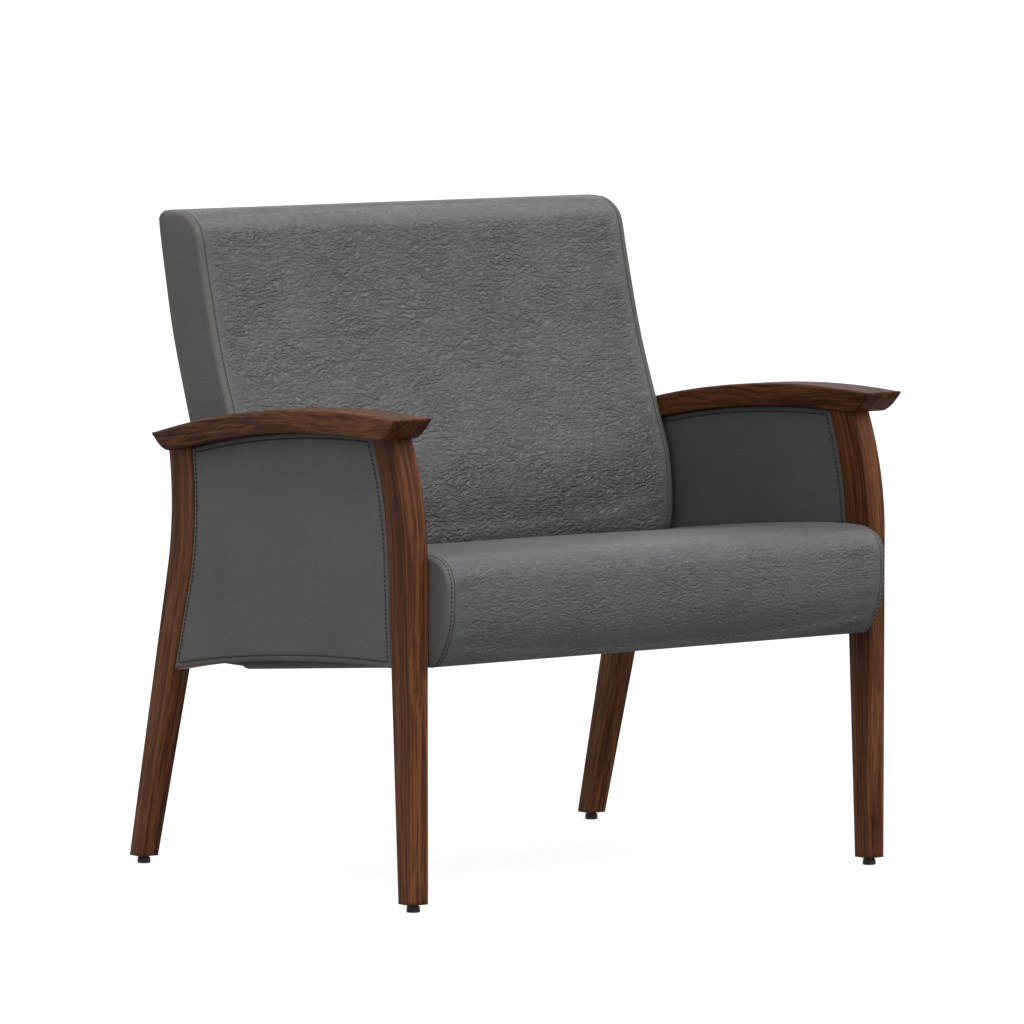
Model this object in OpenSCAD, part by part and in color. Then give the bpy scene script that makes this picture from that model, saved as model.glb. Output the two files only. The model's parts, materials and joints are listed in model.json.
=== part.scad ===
// Wide guest chair with a show-wood arm frame, upholstered seat, back and side panels.
// Millimetres. +Z is up, the front of the chair faces -Y, and left is the -X side.
// The origin is on the floor under the middle of the chair's bounding box.

/* [Overall] */
// Clear width between the inner faces of the left and right legs
clear_w = 741; // [660:1:800]
// Distance from the front glide axes to the rear glide axes
base_d = 612; // [590:1:640]
// Height of the highest point of the arm caps
arm_crest_h = 646; // [630:1:665]
// Height of the top of the back
back_h = 888; // [860:1:930]

/* [Legs] */
// Thickness of each leg across the chair
leg_t = 29.5; // [27:0.5:34]
// Depth of each leg at its foot
foot_d = 28.5; // [26:0.5:32]
// Width of the eased long edges of the legs
leg_ease = 2.5; // [1:0.5:4]
// Height at which the front edge of the front leg starts to sweep back
knee_z = 450; // [430:1:470]
// Depth of the front leg at the knee
knee_d = 49.3; // [44:0.1:56]
// Radius of the swept front edge of the front leg
knee_front_r = 400; // [360:5:460]
// Radius of the swept rear edge of the front leg
knee_rear_r = 450; // [400:5:520]
// Height of the rear leg's waist, its most forward point
waist_z = 500; // [480:1:515]
// Depth of the rear leg at its waist
waist_d = 51.3; // [46:0.1:56]
// How far the waist lies ahead of the rear glide axis
waist_lead = 113.8; // [100:0.2:125]
// Radius of the rear leg's front edge at the waist
waist_front_r = 430; // [380:5:480]
// Radius of the rear leg's rear edge at the waist
waist_rear_r = 415; // [380:5:480]

/* [Arm caps] */
// Width of the arm cap
arm_w = 60; // [52:1:70]
// Thickness of the arm cap away from its ends
arm_t = 31; // [27:0.5:34]
// How far the arm cap reaches past the inner face of the legs
arm_lip = 4.8; // [2:0.1:6]
// Distance from the arm cap's front tip back to its crest
arm_crest_back = 118.4; // [100:0.2:160]
// Radius of the long sweep of the arm cap's top
arm_sweep_r = 1714; // [1600:1:2200]
// How far the arm cap's rear tip reaches past the rear leg's waist
arm_rear_over = 6.7; // [5:0.1:14]
// Blunt height of both tips
arm_tip_h = 3; // [2:0.5:6]
// Length of the undercut under the front tip
front_cut_l = 40; // [30:1:50]
// Length of the undercut under the rear tip
rear_cut_l = 38; // [30:1:50]
// Rounding of the arm cap's upper edges
arm_round = 4; // [2:0.5:6]
// Easing of the arm cap's lower edges
arm_under_ease = 2.5; // [1:0.5:4]

/* [Side panels] */
// Gap between a side panel and the legs
panel_gap = 0.4; // [0.2:0.1:0.8]
// Gap between a side panel and the arm cap above it
panel_top_gap = 2; // [1:0.5:4]
// How far the panel's faces lie inside the faces of the legs
panel_recess = 0.8; // [0.4:0.1:2]
// Thickness of the cover with its wadding
panel_pad_t = 5; // [3:0.5:6]
// Thickness of the cover where it wraps the panel's edge
panel_wrap_t = 3; // [2:0.5:5]
// Height of the panel's lower edge at the front leg
panel_under_z = 315.5; // [305:0.5:320]
// Radius of the arched lower edge of the panel
panel_arch_r = 2600; // [2300:10:3500]
// Height of the load-bearing side rail above the plane of the seat's underside
side_rail_h = 100; // [90:1:110]

/* [Seat] */
// Running gap between the seat and the legs on each side
seat_side_gap = 2; // [1:0.5:5]
// Backward tilt of the seat in degrees
seat_tilt = 5.2; // [3:0.1:7]
// How far the seat's lower front edge lies ahead of the front glide axes
seat_lead = 18.4; // [10:0.2:26]
// How far the seat's lower rear edge lies ahead of the rear glide axes
seat_rear_lead = 207.2; // [200:0.2:215]
// Height of the seat's lower front edge
seat_under_h = 318.8; // [312:0.2:326]
// Thickness of the seat at its ends
seat_thick = 151; // [140:1:160]
// How far the nose bulges ahead of the lower front edge
nose_reach = 44.5; // [36:0.5:52]
// Crown of the seat at the middle of its width
seat_crown = 6; // [2:0.5:10]
// How far the end panels of the seat and back are drawn in round their outer edges
end_ease = 1.5; // [0.5:0.5:3]
// Thickness of the covers with their wadding
cover_t = 5; // [4:0.5:7]
// Height of the seat frame's rails
seat_rail_h = 46; // [42:1:52]
// Thickness of the wooden rails of the seat and back frames
rail_t = 24; // [20:1:28]
// Thickness of the plywood deck
deck_t = 12; // [9:1:15]

/* [Back] */
// How far the lumbar swell overhangs the rear edge of the seat's top
lumbar_lap = 19.5; // [10:0.5:24]
// Depth from the front of the lumbar to the rear of the top
back_depth = 206; // [196:1:220]
// How far the back's lower edge lies above the seat's lower rear edge
back_under_step = 2.7; // [1:0.1:8]
// Crown of the back's front face at the middle of its width
back_crown = 5; // [2:0.5:9]
// Gap on each side between the back and the legs
back_side_gap = 6; // [5:0.5:9]
// Depth of the back frame's stiles
stile_d = 34; // [28:1:38]
// Height of the faces of the back frame's two rails
back_rail_h = 50; // [48:1:60]
// Thickness of the outside back panel with its cover
outside_back_t = 6; // [5.5:0.5:8]

/* [Glides] */
// Diameter of the glide's pad
pad_d = 18; // [16:0.5:22]
// Height of the glide's pad
pad_h = 7.6; // [7:0.2:10]
// Diameter of the threaded stem
stem_d = 8; // [6:0.5:8]
// Length of the stem from the pad's socket up
stem_l = 36; // [32:1:37]
// Width across the flats of the stem's hexagon
collar_af = 13; // [11:0.5:14]
// Height of the stem's hexagon
collar_h = 2.4; // [2:0.1:4]
// Outer diameter of the threaded insert in the foot of each leg
insert_d = 12; // [10:0.5:13]
// Length of that insert
insert_l = 20; // [16:1:24]

/* [Fasteners] */
// Diameter of the dowels
dowel_d = 10; // [8:0.5:12]
// Length of the dowels
dowel_l = 40; // [34:1:42]
// Diameter of the bolts that hold the seat and the back
bolt_d = 8; // [6:0.5:9]
// Diameter of the bracket screws
screw_d = 4.5; // [3.5:0.5:5]
// How deep the bracket screws go into the wood
screw_bite_l = 16; // [12:1:20]
// Height of a bracket screw's head
screw_head_h = 2.5; // [2:0.5:3.5]

/* [Hidden] */
wood = [0.30, 0.16, 0.10];
inner_wood = [0.78, 0.63, 0.43];
ply = [0.72, 0.56, 0.36];
vinyl = [0.36, 0.37, 0.38];
vinyl_dark = [0.27, 0.29, 0.30];
foam_yellow = [0.93, 0.88, 0.66];
steel = [0.62, 0.63, 0.65];
black = [0.06, 0.06, 0.06];
black_cloth = [0.12, 0.12, 0.12];

fit = 0.1;
run = 0.05;
part_gap = 0.5;
over = 1;
arc_steps = 64;

// Places of the legs, measured from the middle of the four glides
leg_in_x = clear_w / 2;
leg_out_x = leg_in_x + leg_t;
leg_mid_x = leg_in_x + leg_t / 2;
glide_gap = 0.2;
collar_z = pad_h + glide_gap;
leg_z = collar_z + collar_h + glide_gap;
front_glide_y = -base_d / 2;
rear_glide_y = base_d / 2;

// A leg edge is a straight line from the foot that runs into an arc. The arc's
// most forward point is the waist, and its centre lies behind the waist.
function line_angle(foot, c, r) =
    atan2(c[1] - foot[1], c[0] - foot[0]) + asin(r / norm(c - foot));
function line_length(foot, c, r) = sqrt(pow(norm(c - foot), 2) - r * r);
function edge_at(foot, waist, r, z) =
    let (c = waist + [r, 0],
         a = line_angle(foot, c, r),
         top = foot[1] + line_length(foot, c, r) * sin(a))
    z < top ? foot[0] + (z - foot[1]) * cos(a) / sin(a)
            : c[0] - sqrt(r * r - pow(z - c[1], 2));

front_foot = [front_glide_y - foot_d / 2, leg_z];
knee_front = [front_foot[0], knee_z];
knee_drop_share = 0.962;
knee_rear = [front_foot[0] + knee_d, knee_z * knee_drop_share];
function front_leg_front(z) = edge_at(front_foot, knee_front, knee_front_r, z);
function front_leg_rear(z) = edge_at(front_foot + [foot_d, 0], knee_rear, knee_rear_r, z);

rear_foot = [rear_glide_y - foot_d / 2, leg_z];
waist_y = rear_glide_y - waist_lead;
waist_front = [waist_y - waist_d / 2, waist_z];
waist_rear = [waist_y + waist_d / 2, waist_z];
function rear_leg_front(z) = edge_at(rear_foot, waist_front, waist_front_r, z);
function rear_leg_rear(z) = edge_at(rear_foot + [foot_d, 0], waist_rear, waist_rear_r, z);

// Arm cap: a bent bar whose top and underside are long arcs, undercut at both tips
arm_in_x = leg_in_x - arm_lip;
arm_out_x = arm_in_x + arm_w;
arm_front_y = front_foot[0];
arm_rear_y = waist_rear[0] + arm_rear_over;
arm_crest_y = arm_front_y + arm_crest_back;
cut_power = 1.8;
function arm_top(y) = arm_crest_h - pow(y - arm_crest_y, 2) / (2 * arm_sweep_r);
function arm_plain(y) = arm_top(y) - arm_t;
function cut_curve(s) = 1 - pow(1 - s, cut_power);
function arm_under(y) =
    let (s = min((y - arm_front_y) / front_cut_l, (arm_rear_y - y) / rear_cut_l),
         tip = arm_top(y) - arm_tip_h)
    s >= 1 ? arm_plain(y) : tip + (arm_plain(y) - tip) * cut_curve(max(s, 0));

// Where the legs end inside the arm caps
leg_let_in = 14;
front_leg_top = arm_top(knee_rear[0]) - leg_let_in;
rear_leg_top = arm_top(arm_rear_y) - arm_tip_h - fit;

// The seat is drawn in its own tilted frame: u runs back along it, w stands square to it
seat_front = [front_glide_y - seat_lead, seat_under_h];
seat_l = (rear_glide_y - seat_rear_lead - seat_front[0]) / cos(seat_tilt);
function seat_point(u, w) =
    seat_front + [u * cos(seat_tilt) + w * sin(seat_tilt),
                  w * cos(seat_tilt) - u * sin(seat_tilt)];
seat_half = leg_in_x - seat_side_gap;
back_half = leg_in_x - back_side_gap;

// A smooth curve through hand-placed points, with n steps from each point to the next
function at_end(p, i) = p[max(0, min(len(p) - 1, i))];
function blend(a, b, c, d, t) =
    (2 * b + (c - a) * t + (2 * a - 5 * b + 4 * c - d) * t * t
     + (3 * b - a - 3 * c + d) * t * t * t) / 2;
function smooth(p, n) =
    concat([for (i = [0 : len(p) - 2]) for (k = [0 : n - 1])
                blend(at_end(p, i - 1), p[i], p[i + 1], at_end(p, i + 2), k / n)],
           [p[len(p) - 1]]);

// Outlines run clockwise, so the outside is on the left of the way they go. Moving each
// point along its mitre by d moves all the edges outwards by d.
function edge_out(p, i) =
    let (n = len(p), t = p[(i + 1) % n] - p[i % n]) [-t[1], t[0]] / norm(t);
function mitre(p, i) =
    let (a = edge_out(p, i + len(p) - 1), b = edge_out(p, i)) (a + b) / (1 + a * b);
function grown(p, d) = [for (i = [0 : len(p) - 1]) p[i] + mitre(p, i) * d];
function reversed(p) = [for (i = [len(p) - 1 : -1 : 0]) p[i]];
function between(a, b, s) = a + (b - a) * s;

// Places inside the seat, in its own frame: the wooden frame is set in from the nose and
// up from the underside, and the deck lies on it
rail_set = 3;
frame_u0 = cover_t + rail_set;
frame_u1 = seat_l - cover_t;
deck_w = rail_set + seat_rail_h;
foam_w = deck_w + deck_t;

// Seat outline from the rear of the underside, round the nose and along the top, down to
// the deck, in shares of the nose's reach or the seat's length, and of the thickness
nose_shares = [[0, 0], [0.45, 0.135], [0.86, 0.37], [1, 0.64], [0.96, 0.78], [0.72, 0.885],
               [0.15, 0.955], [-0.9, 0.985]];
top_shares = [[0.22, 1], [0.48, 1.007], [0.78, 0.995], [0.955, 0.98], [1, 0.92]];
seat_places = concat(
    [[seat_l, 0], [frame_u0, 0]],
    smooth([for (s = nose_shares) [-s[0] * nose_reach, s[1] * seat_thick]], 2),
    [for (s = top_shares) [s[0] * seat_l, s[1] * seat_thick]],
    [[seat_l, deck_w]]);
seat_outline = [for (p = seat_places) seat_point(p[0], p[1])];
nose_y = min([for (p = grown(seat_outline, seat_crown)) p[0]]);

// Back outline from the lower front, round the top, to the lower rear, in shares of the
// back's depth and of its height, above the tuck in front and the lower edge behind
lumbar_y = seat_point(seat_l, seat_thick)[0] - lumbar_lap;
back_under_z = seat_point(seat_l, 0)[1] + back_under_step;
tuck_foot = (back_under_step + part_gap * sin(seat_tilt)) / cos(seat_tilt);
tuck_shares = [tuck_foot / seat_thick, 0.35, 0.7, 0.93];
tuck_line = [for (s = tuck_shares) seat_point(seat_l + part_gap, s * seat_thick)];
tuck_top_z = tuck_line[len(tuck_line) - 1][1];
front_shares = [[0.02, 0.024], [0, 0.121], [0.035, 0.25], [0.15, 0.379], [0.345, 0.599],
                [0.495, 0.832], [0.55, 0.929], [0.605, 0.966], [0.72, 0.993], [0.87, 0.996],
                [0.975, 0.982]];
rear_shares = [[0.995, 0.965], [0.935, 0.86], [0.84, 0.72], [0.70, 0.575], [0.52, 0.395],
               [0.435, 0.28], [0.425, 0.2], [0.425, 0]];
function back_point(s) =
    [lumbar_y + s[0] * back_depth, back_under_z + s[1] * (back_h - back_under_z)];
back_outline = concat(
    tuck_line,
    smooth([for (s = front_shares)
        [lumbar_y + s[0] * back_depth, between(tuck_top_z, back_h, s[1])]], 2),
    [for (s = rear_shares) back_point(s)]);

// The middle of the bounding box, seen from the middle of the glides
mid_y = (nose_y + rear_foot[0] + foot_d) / 2;

// Puts the origin under the middle of the bounding box
module centred() {
    translate([0, -mid_y, 0]) children();
}

// Draws the right-hand side (side = 1) or its mirror image (side = -1)
module on_side(side) {
    if (side > 0) {
        children();
    } else {
        mirror([1, 0, 0]) children();
    }
}

// The seat's tilted frame, with u along Y and w along Z
module seat_frame() {
    translate([0, seat_front[0], seat_front[1]]) rotate([-seat_tilt, 0, 0]) children();
}

// A slab whose outline lies in the YZ plane, between two X positions
module slab(outline, x0, x1) {
    translate([x0, 0, 0])
        rotate([90, 0, 90])
            linear_extrude(x1 - x0) polygon(outline);
}

// A cylinder of diameter d along X, from x0 to x1, at one [y, z] place
module along_x(place, d, x0, x1) {
    translate([x0, place[0], place[1]])
        rotate([0, 90, 0]) cylinder(d = d, h = x1 - x0, $fn = arc_steps);
}

// Skin over rings of points, each clockwise as seen from the last ring's side. The faces
// that cap an end number the points of one ring.
module skin(rings, caps) {
    n = len(rings[0]);
    m = len(rings);
    points = [for (ring = rings) for (p = ring) p];
    walls = [for (j = [0 : m - 2]) for (i = [0 : n - 1])
                 let (a = j * n + i, b = j * n + (i + 1) % n)
                 each [[a, b, b + n], [a, b + n, a + n]]];
    first = [for (face = caps) reversed(face)];
    last = [for (face = caps) [for (i = face) (m - 1) * n + i]];
    polyhedron(points, concat(first, walls, last));
}

module loft(rings) {
    skin(rings, [[for (i = [0 : len(rings[0]) - 1]) i]]);
}

// Legs

leg_rings = 18;

// Plan section of a leg at one height, with eased corners
function leg_ring(y0, y1, z) =
    let (e = leg_ease, a = leg_in_x, b = leg_out_x)
    [[a, y0 + e, z], [a, y1 - e, z], [a + e, y1, z], [b - e, y1, z],
     [b, y1 - e, z], [b, y0 + e, z], [b - e, y0, z], [a + e, y0, z]];

module foot_hole(y) {
    translate([leg_mid_x, y, leg_z - over])
        cylinder(d = foot_flange_d, h = over + foot_flange_t, $fn = arc_steps);
    translate([leg_mid_x, y, leg_z - over])
        cylinder(d = insert_d, h = over + insert_l, $fn = arc_steps);
    translate([leg_mid_x, y, leg_z - over])
        cylinder(d = stem_d + 2 * part_gap, h = over + stem_room, $fn = arc_steps);
}

module front_leg(side) {
    color(wood) centred() on_side(side) difference() {
        loft([for (i = [0 : leg_rings])
                  let (z = between(leg_z, front_leg_top, i / leg_rings))
                  leg_ring(front_leg_front(z), front_leg_rear(z), z)]);
        arm_solid();
        foot_hole(front_glide_y);
        arm_dowel_set(front_arm_dowels, fit);
        rail_dowel_set(front_rail_dowels, fit);
    }
}

module rear_leg(side) {
    color(wood) centred() on_side(side) difference() {
        loft([for (i = [0 : leg_rings])
                  let (z = between(leg_z, rear_leg_top, i / leg_rings),
                       y = rear_leg_rear(z))
                  leg_ring(rear_leg_front(z), z > waist_z ? min(y, arm_rear_y - fit) : y, z)]);
        arm_solid();
        foot_hole(rear_glide_y);
        arm_dowel_set(rear_arm_dowels, fit);
        rail_dowel_set(rear_rail_dowels, fit);
        along_x(upper_back_bolt, bolt_insert_d, leg_in_x - over, leg_in_x + bolt_insert_l);
    }
}

module front_leg_left() {
    front_leg(-1);
}

module front_leg_right() {
    front_leg(1);
}

module rear_leg_left() {
    rear_leg(-1);
}

module rear_leg_right() {
    rear_leg(1);
}

// Arm caps

corner_share = 0.293;
cut_shares = [0, 0.12, 0.28, 0.5, 0.75];
arm_spans = 12;
arm_stations = concat(
    [for (s = cut_shares) arm_front_y + s * front_cut_l],
    [for (i = [0 : arm_spans])
         between(arm_front_y + front_cut_l, arm_rear_y - rear_cut_l, i / arm_spans)],
    [for (s = reversed(cut_shares)) arm_rear_y - s * rear_cut_l]);

// Section of the arm cap at one place along it
function arm_ring(y) =
    let (a = arm_in_x, b = arm_out_x, t = arm_top(y), u = arm_under(y),
         r = min(arm_round, (t - u) / 3), k = r * corner_share,
         e = min(arm_under_ease, (t - u) / 3))
    [[b - e, y, u], [b, y, u + e], [b, y, t - r], [b - k, y, t - k], [b - r, y, t],
     [a + r, y, t], [a + k, y, t - k], [a, y, t - r], [a, y, u + e], [a + e, y, u]];

module arm_solid() {
    loft([for (y = arm_stations) arm_ring(y)]);
}

module arm_cap(side) {
    color(wood) centred() on_side(side) difference() {
        arm_solid();
        arm_dowel_set(front_arm_dowels, fit);
        arm_dowel_set(rear_arm_dowels, fit);
    }
}

module arm_cap_left() {
    arm_cap(-1);
}

module arm_cap_right() {
    arm_cap(1);
}

// Upright dowels that join the legs to the arm caps, as [place along Y, top height]
dowel_wall = 12;
arm_dowel_shares = [0.14, 0.52];
function arm_dowel_places(y0, y1) =
    [for (s = arm_dowel_shares)
         let (y = between(y0, y1, s)) [y, arm_top(y + dowel_d / 2) - dowel_wall]];
front_arm_dowels = arm_dowel_places(front_leg_front(front_leg_top), front_leg_rear(front_leg_top));
rear_arm_dowels = arm_dowel_places(rear_leg_front(rear_leg_top), waist_rear[0]);

module arm_dowel_set(places, gap) {
    for (p = places)
        translate([leg_mid_x, p[0], p[1] - dowel_l - gap])
            cylinder(d = dowel_d + 2 * gap, h = dowel_l + 2 * gap, $fn = arc_steps);
}

module arm_dowels() {
    color(inner_wood) centred() for (side = [-1, 1]) on_side(side) {
        arm_dowel_set(front_arm_dowels, 0);
        arm_dowel_set(rear_arm_dowels, 0);
    }
}

// Side panels

panel_in_x = leg_in_x + panel_recess;
panel_out_x = leg_out_x - panel_recess;
core_in_x = panel_in_x + panel_pad_t;
core_out_x = panel_out_x - panel_pad_t;
panel_steps = 10;
step_shares = [for (i = [0 : panel_steps - 1]) i / panel_steps];
panel_front_y = front_leg_rear(panel_under_z);
function arch_z(y) =
    panel_under_z - panel_arch_r + sqrt(pow(panel_arch_r, 2) - pow(y - panel_front_y, 2));

// Outline of the panel, drawn in by d all round, clockwise from the lower front
function panel_outline(d) =
    let (gap = panel_gap + d,
         low_front = panel_under_z + d,
         top_drop = panel_top_gap + d,
         high_front = arm_plain(front_leg_rear(arm_crest_h - arm_t) + gap) - top_drop,
         low_rear = arch_z(rear_leg_front(arch_z(waist_y)) - gap) + d,
         high_rear = arm_plain(waist_front[0] - gap) - top_drop,
         high_front_y = front_leg_rear(high_front) + gap,
         high_rear_y = rear_leg_front(high_rear) - gap,
         low_rear_y = rear_leg_front(low_rear) - gap,
         low_front_y = front_leg_rear(low_front) + gap)
    concat(
        [for (s = step_shares)
             let (z = between(low_front, high_front, s)) [front_leg_rear(z) + gap, z]],
        [for (s = step_shares)
             let (y = between(high_front_y, high_rear_y, s)) [y, arm_plain(y) - top_drop]],
        [for (s = step_shares)
             let (z = between(high_rear, low_rear, s)) [rear_leg_front(z) - gap, z]],
        [for (s = step_shares)
             let (y = between(low_rear_y, low_front_y, s)) [y, arch_z(y) + d]]);

cover_outline = panel_outline(0);
core_outline = panel_outline(panel_wrap_t);

// Everything above the plane, parallel to the seat, that parts rail and board
module above_rail() {
    seat_frame()
        translate([core_in_x - over, -seat_l, side_rail_h])
            cube([core_out_x - core_in_x + 2 * over, 3 * seat_l, arm_crest_h]);
}

module side_rail(side) {
    color(inner_wood) centred() on_side(side) difference() {
        slab(core_outline, core_in_x, core_out_x);
        above_rail();
        rail_dowel_set(front_rail_dowels, fit);
        rail_dowel_set(rear_rail_dowels, fit);
        core_insert_bores();
    }
}

module core_insert_bores() {
    seat_bolt_axes(bolt_insert_d, core_in_x - over, core_in_x + bolt_insert_l);
    along_x(lower_back_bolt, bolt_insert_d, core_in_x - over, core_in_x + bolt_insert_l);
}

module side_board(side) {
    color(ply) centred() on_side(side) difference() {
        intersection() {
            slab(core_outline, core_in_x, core_out_x);
            above_rail();
        }
        core_insert_bores();
    }
}

// The outer cover also wraps the edge of the core, so it is a tray
module side_cover_outer(side) {
    color(vinyl_dark) centred() on_side(side) difference() {
        slab(cover_outline, core_in_x, panel_out_x);
        slab(core_outline, core_in_x - over, core_out_x);
        rail_dowel_set(front_rail_dowels, fit);
        rail_dowel_set(rear_rail_dowels, fit);
    }
}

module side_cover_inner(side) {
    color(vinyl_dark) centred() on_side(side) difference() {
        slab(cover_outline, panel_in_x, core_in_x);
        seat_bolt_axes(bolt_d + 2 * fit, panel_in_x - over, core_in_x + over);
        along_x(lower_back_bolt, bolt_d + 2 * fit, panel_in_x - over, core_in_x + over);
    }
}

module side_rail_left() {
    side_rail(-1);
}

module side_rail_right() {
    side_rail(1);
}

module side_board_left() {
    side_board(-1);
}

module side_board_right() {
    side_board(1);
}

module side_cover_outer_left() {
    side_cover_outer(-1);
}

module side_cover_outer_right() {
    side_cover_outer(1);
}

module side_cover_inner_left() {
    side_cover_inner(-1);
}

module side_cover_inner_right() {
    side_cover_inner(1);
}

// Level dowels that join the side rails to the legs, as [middle along Y, height]
rail_dowel_shares = [0.3, 0.75];
rear_rail_low = arch_z(rear_leg_front(panel_under_z)) + panel_wrap_t;
front_rail_dowels = [for (s = rail_dowel_shares)
    let (z = between(panel_under_z + panel_wrap_t, seat_point(seat_lead, side_rail_h)[1], s))
    [front_leg_rear(z), z]];
rear_rail_dowels = [for (s = rail_dowel_shares)
    let (z = between(rear_rail_low, seat_point(seat_l, side_rail_h)[1], s))
    [rear_leg_front(z), z]];

module rail_dowel_set(places, gap) {
    for (p = places)
        translate([leg_mid_x, p[0] - dowel_l / 2 - gap, p[1]])
            rotate([-90, 0, 0])
                cylinder(d = dowel_d + 2 * gap, h = dowel_l + 2 * gap, $fn = arc_steps);
}

module rail_dowels() {
    color(inner_wood) centred() for (side = [-1, 1]) on_side(side) {
        rail_dowel_set(front_rail_dowels, 0);
        rail_dowel_set(rear_rail_dowels, 0);
    }
}

// Crowned upholstery: a wrap carried across the chair's width, sewn to an end panel on
// each side. The soft side of its outline swells towards the middle of the width.
station_shares = [-1, -0.88, -0.72, -0.5, -0.2, 0.2, 0.5, 0.72, 0.88, 1];

// The wrap follows the outline from its point first to its point last, and has its seams
// at the distance seam on either side of the middle
module wrap(outline, softness, crown, seam, first, last) {
    pocket = grown(outline, -cover_t);
    n = 2 * (last - first + 1);
    rings = [for (s = station_shares)
        let (x = s * seam, swell = crown * (1 - pow(abs(s), 3)))
        concat([for (i = [first : last])
                    let (p = outline[i] + mitre(outline, i) * swell * softness[i])
                    [x, p[0], p[1]]],
               [for (i = [last : -1 : first]) [x, pocket[i][0], pocket[i][1]]])];
    skin(rings, [for (i = [0 : last - first - 1]) [i, i + 1, n - 2 - i, n - 1 - i]]);
}

// An end panel whose outer edge is stepped in all round
module end_panel(outline, seam) {
    slab(outline, seam, seam + cover_t - end_ease);
    slab(grown(outline, -end_ease), seam, seam + cover_t);
}

// Seat unit

frame_half = seat_half - cover_t;
rail_in_x = frame_half - rail_t;
seat_last = len(seat_outline) - 1;

// How soft the seat's outline is at each point: 1 where it faces up or forward, and 0
// along the underside and at the last three points, which lie in the crease
seat_softness = [for (i = [0 : seat_last])
    let (n = mitre(seat_outline, i))
    i < 2 || i > seat_last - 3 ? 0 : max(0, n[1], -n[0])];

module seat_cover() {
    color(vinyl) centred()
        wrap(seat_outline, seat_softness, seat_crown, frame_half, 1, seat_last);
}

module seat_end(side) {
    color(vinyl) centred() on_side(side) difference() {
        end_panel(seat_outline, frame_half);
        seat_bolt_axes(bolt_d + 2 * fit, frame_half - over, seat_half + over);
    }
}

module seat_end_left() {
    seat_end(-1);
}

module seat_end_right() {
    seat_end(1);
}

module seat_foam() {
    color(foam_yellow) centred() difference() {
        slab(grown(seat_outline, -cover_t - fit), -frame_half, frame_half);
        seat_frame()
            translate([-frame_half - over, frame_u0, -over])
                cube([2 * (frame_half + over), seat_l, foam_w + over]);
    }
}

module seat_deck() {
    color(ply) centred() seat_frame()
        translate([-frame_half, frame_u0, deck_w])
            cube([2 * frame_half, frame_u1 - frame_u0, deck_t]);
}

module seat_front_rail() {
    color(inner_wood) centred() seat_frame()
        translate([-rail_in_x, frame_u0, rail_set])
            cube([2 * rail_in_x, rail_t, seat_rail_h]);
}

module seat_rear_rail() {
    color(inner_wood) centred() difference() {
        seat_frame()
            translate([-rail_in_x, frame_u1 - rail_t, rail_set])
                cube([2 * rail_in_x, rail_t, seat_rail_h]);
        seat_screws(screw_d + 2 * fit, over, screw_bite_l + fit);
    }
}

module seat_side_rail(side) {
    color(inner_wood) centred() on_side(side) difference() {
        seat_frame()
            translate([rail_in_x, frame_u0, rail_set])
                cube([rail_t, frame_u1 - frame_u0, seat_rail_h]);
        seat_bolt_axes(bolt_d + 2 * fit, rail_in_x - over, frame_half + over);
    }
}

module seat_side_rail_left() {
    seat_side_rail(-1);
}

module seat_side_rail_right() {
    seat_side_rail(1);
}

// Three-cornered blocks glued into the corners of the frame
block_leg = 38;
block_h = 30;
module seat_corner_blocks() {
    block_w = deck_w - block_h;
    color(inner_wood) centred() for (side = [-1, 1]) on_side(side) seat_frame() {
        translate([rail_in_x, frame_u0 + rail_t, block_w])
            linear_extrude(block_h) polygon([[0, 0], [-block_leg, 0], [0, block_leg]]);
        translate([rail_in_x, frame_u1 - rail_t, block_w])
            linear_extrude(block_h) polygon([[0, 0], [0, -block_leg], [-block_leg, 0]]);
    }
}

// Two square steel tubes that stiffen the deck from side rail to side rail
bar_size = 25;
bar_wall = 2;
bar_shares = [0.36, 0.66];
module seat_steel_bars() {
    hollow = bar_size - 2 * bar_wall;
    color(steel) centred() seat_frame() for (s = bar_shares)
        translate([-rail_in_x, s * seat_l - bar_size / 2, deck_w - bar_size])
            difference() {
                cube([2 * rail_in_x, bar_size, bar_size]);
                translate([-over, bar_wall, bar_wall])
                    cube([2 * (rail_in_x + over), hollow, hollow]);
            }
}

// Black cloth stapled under the frame
dust_t = 1;
module seat_dust_cover() {
    color(black_cloth) centred() seat_frame()
        translate([-frame_half, frame_u0, rail_set - dust_t])
            cube([2 * frame_half, frame_u1 - frame_u0, dust_t]);
}

// Back unit

back_frame_half = back_half - cover_t;
stile_foot_z = back_under_z + cover_t;
strap_t = 2;
back_pocket = grown(back_outline, -cover_t);

// How soft the back's outline is at each point: 1 where it faces forward, and 0 behind
// the seat and in the crease
back_softness = [for (i = [0 : len(back_outline) - 1])
    i <= len(tuck_shares) ? 0 : max(0, -mitre(back_outline, i)[0])];

// The rear line of the frame, from its foot up, then its front line and the foam's rear
frame_shares = reversed([for (i = [1 : len(rear_shares) - 1]) rear_shares[i]]);
frame_rear = [for (s = frame_shares)
    let (p = back_point(s)) [p[0] - outside_back_t, max(p[1], stile_foot_z)]];
frame_front = [for (p = frame_rear) p - [stile_d, 0]];
foam_rear = [for (p = frame_front) p - [strap_t, 0]];
frame_head = frame_rear[len(frame_rear) - 1];
frame_outline = concat(frame_rear, reversed(frame_front));
frame_front_y = frame_front[0][0];

// Middle of a stile's depth at one height
function stile_mid(z) = lookup(z, [for (p = frame_rear) [p[1], p[0]]]) - stile_d / 2;

// The wrap starts above the brackets and ends at the head of the frame's rear
wrap_first = 1;
wrap_last = len(back_outline) - len(frame_shares);

module back_cover() {
    color(vinyl) centred()
        wrap(back_outline, back_softness, back_crown, back_frame_half, wrap_first, wrap_last);
}

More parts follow.
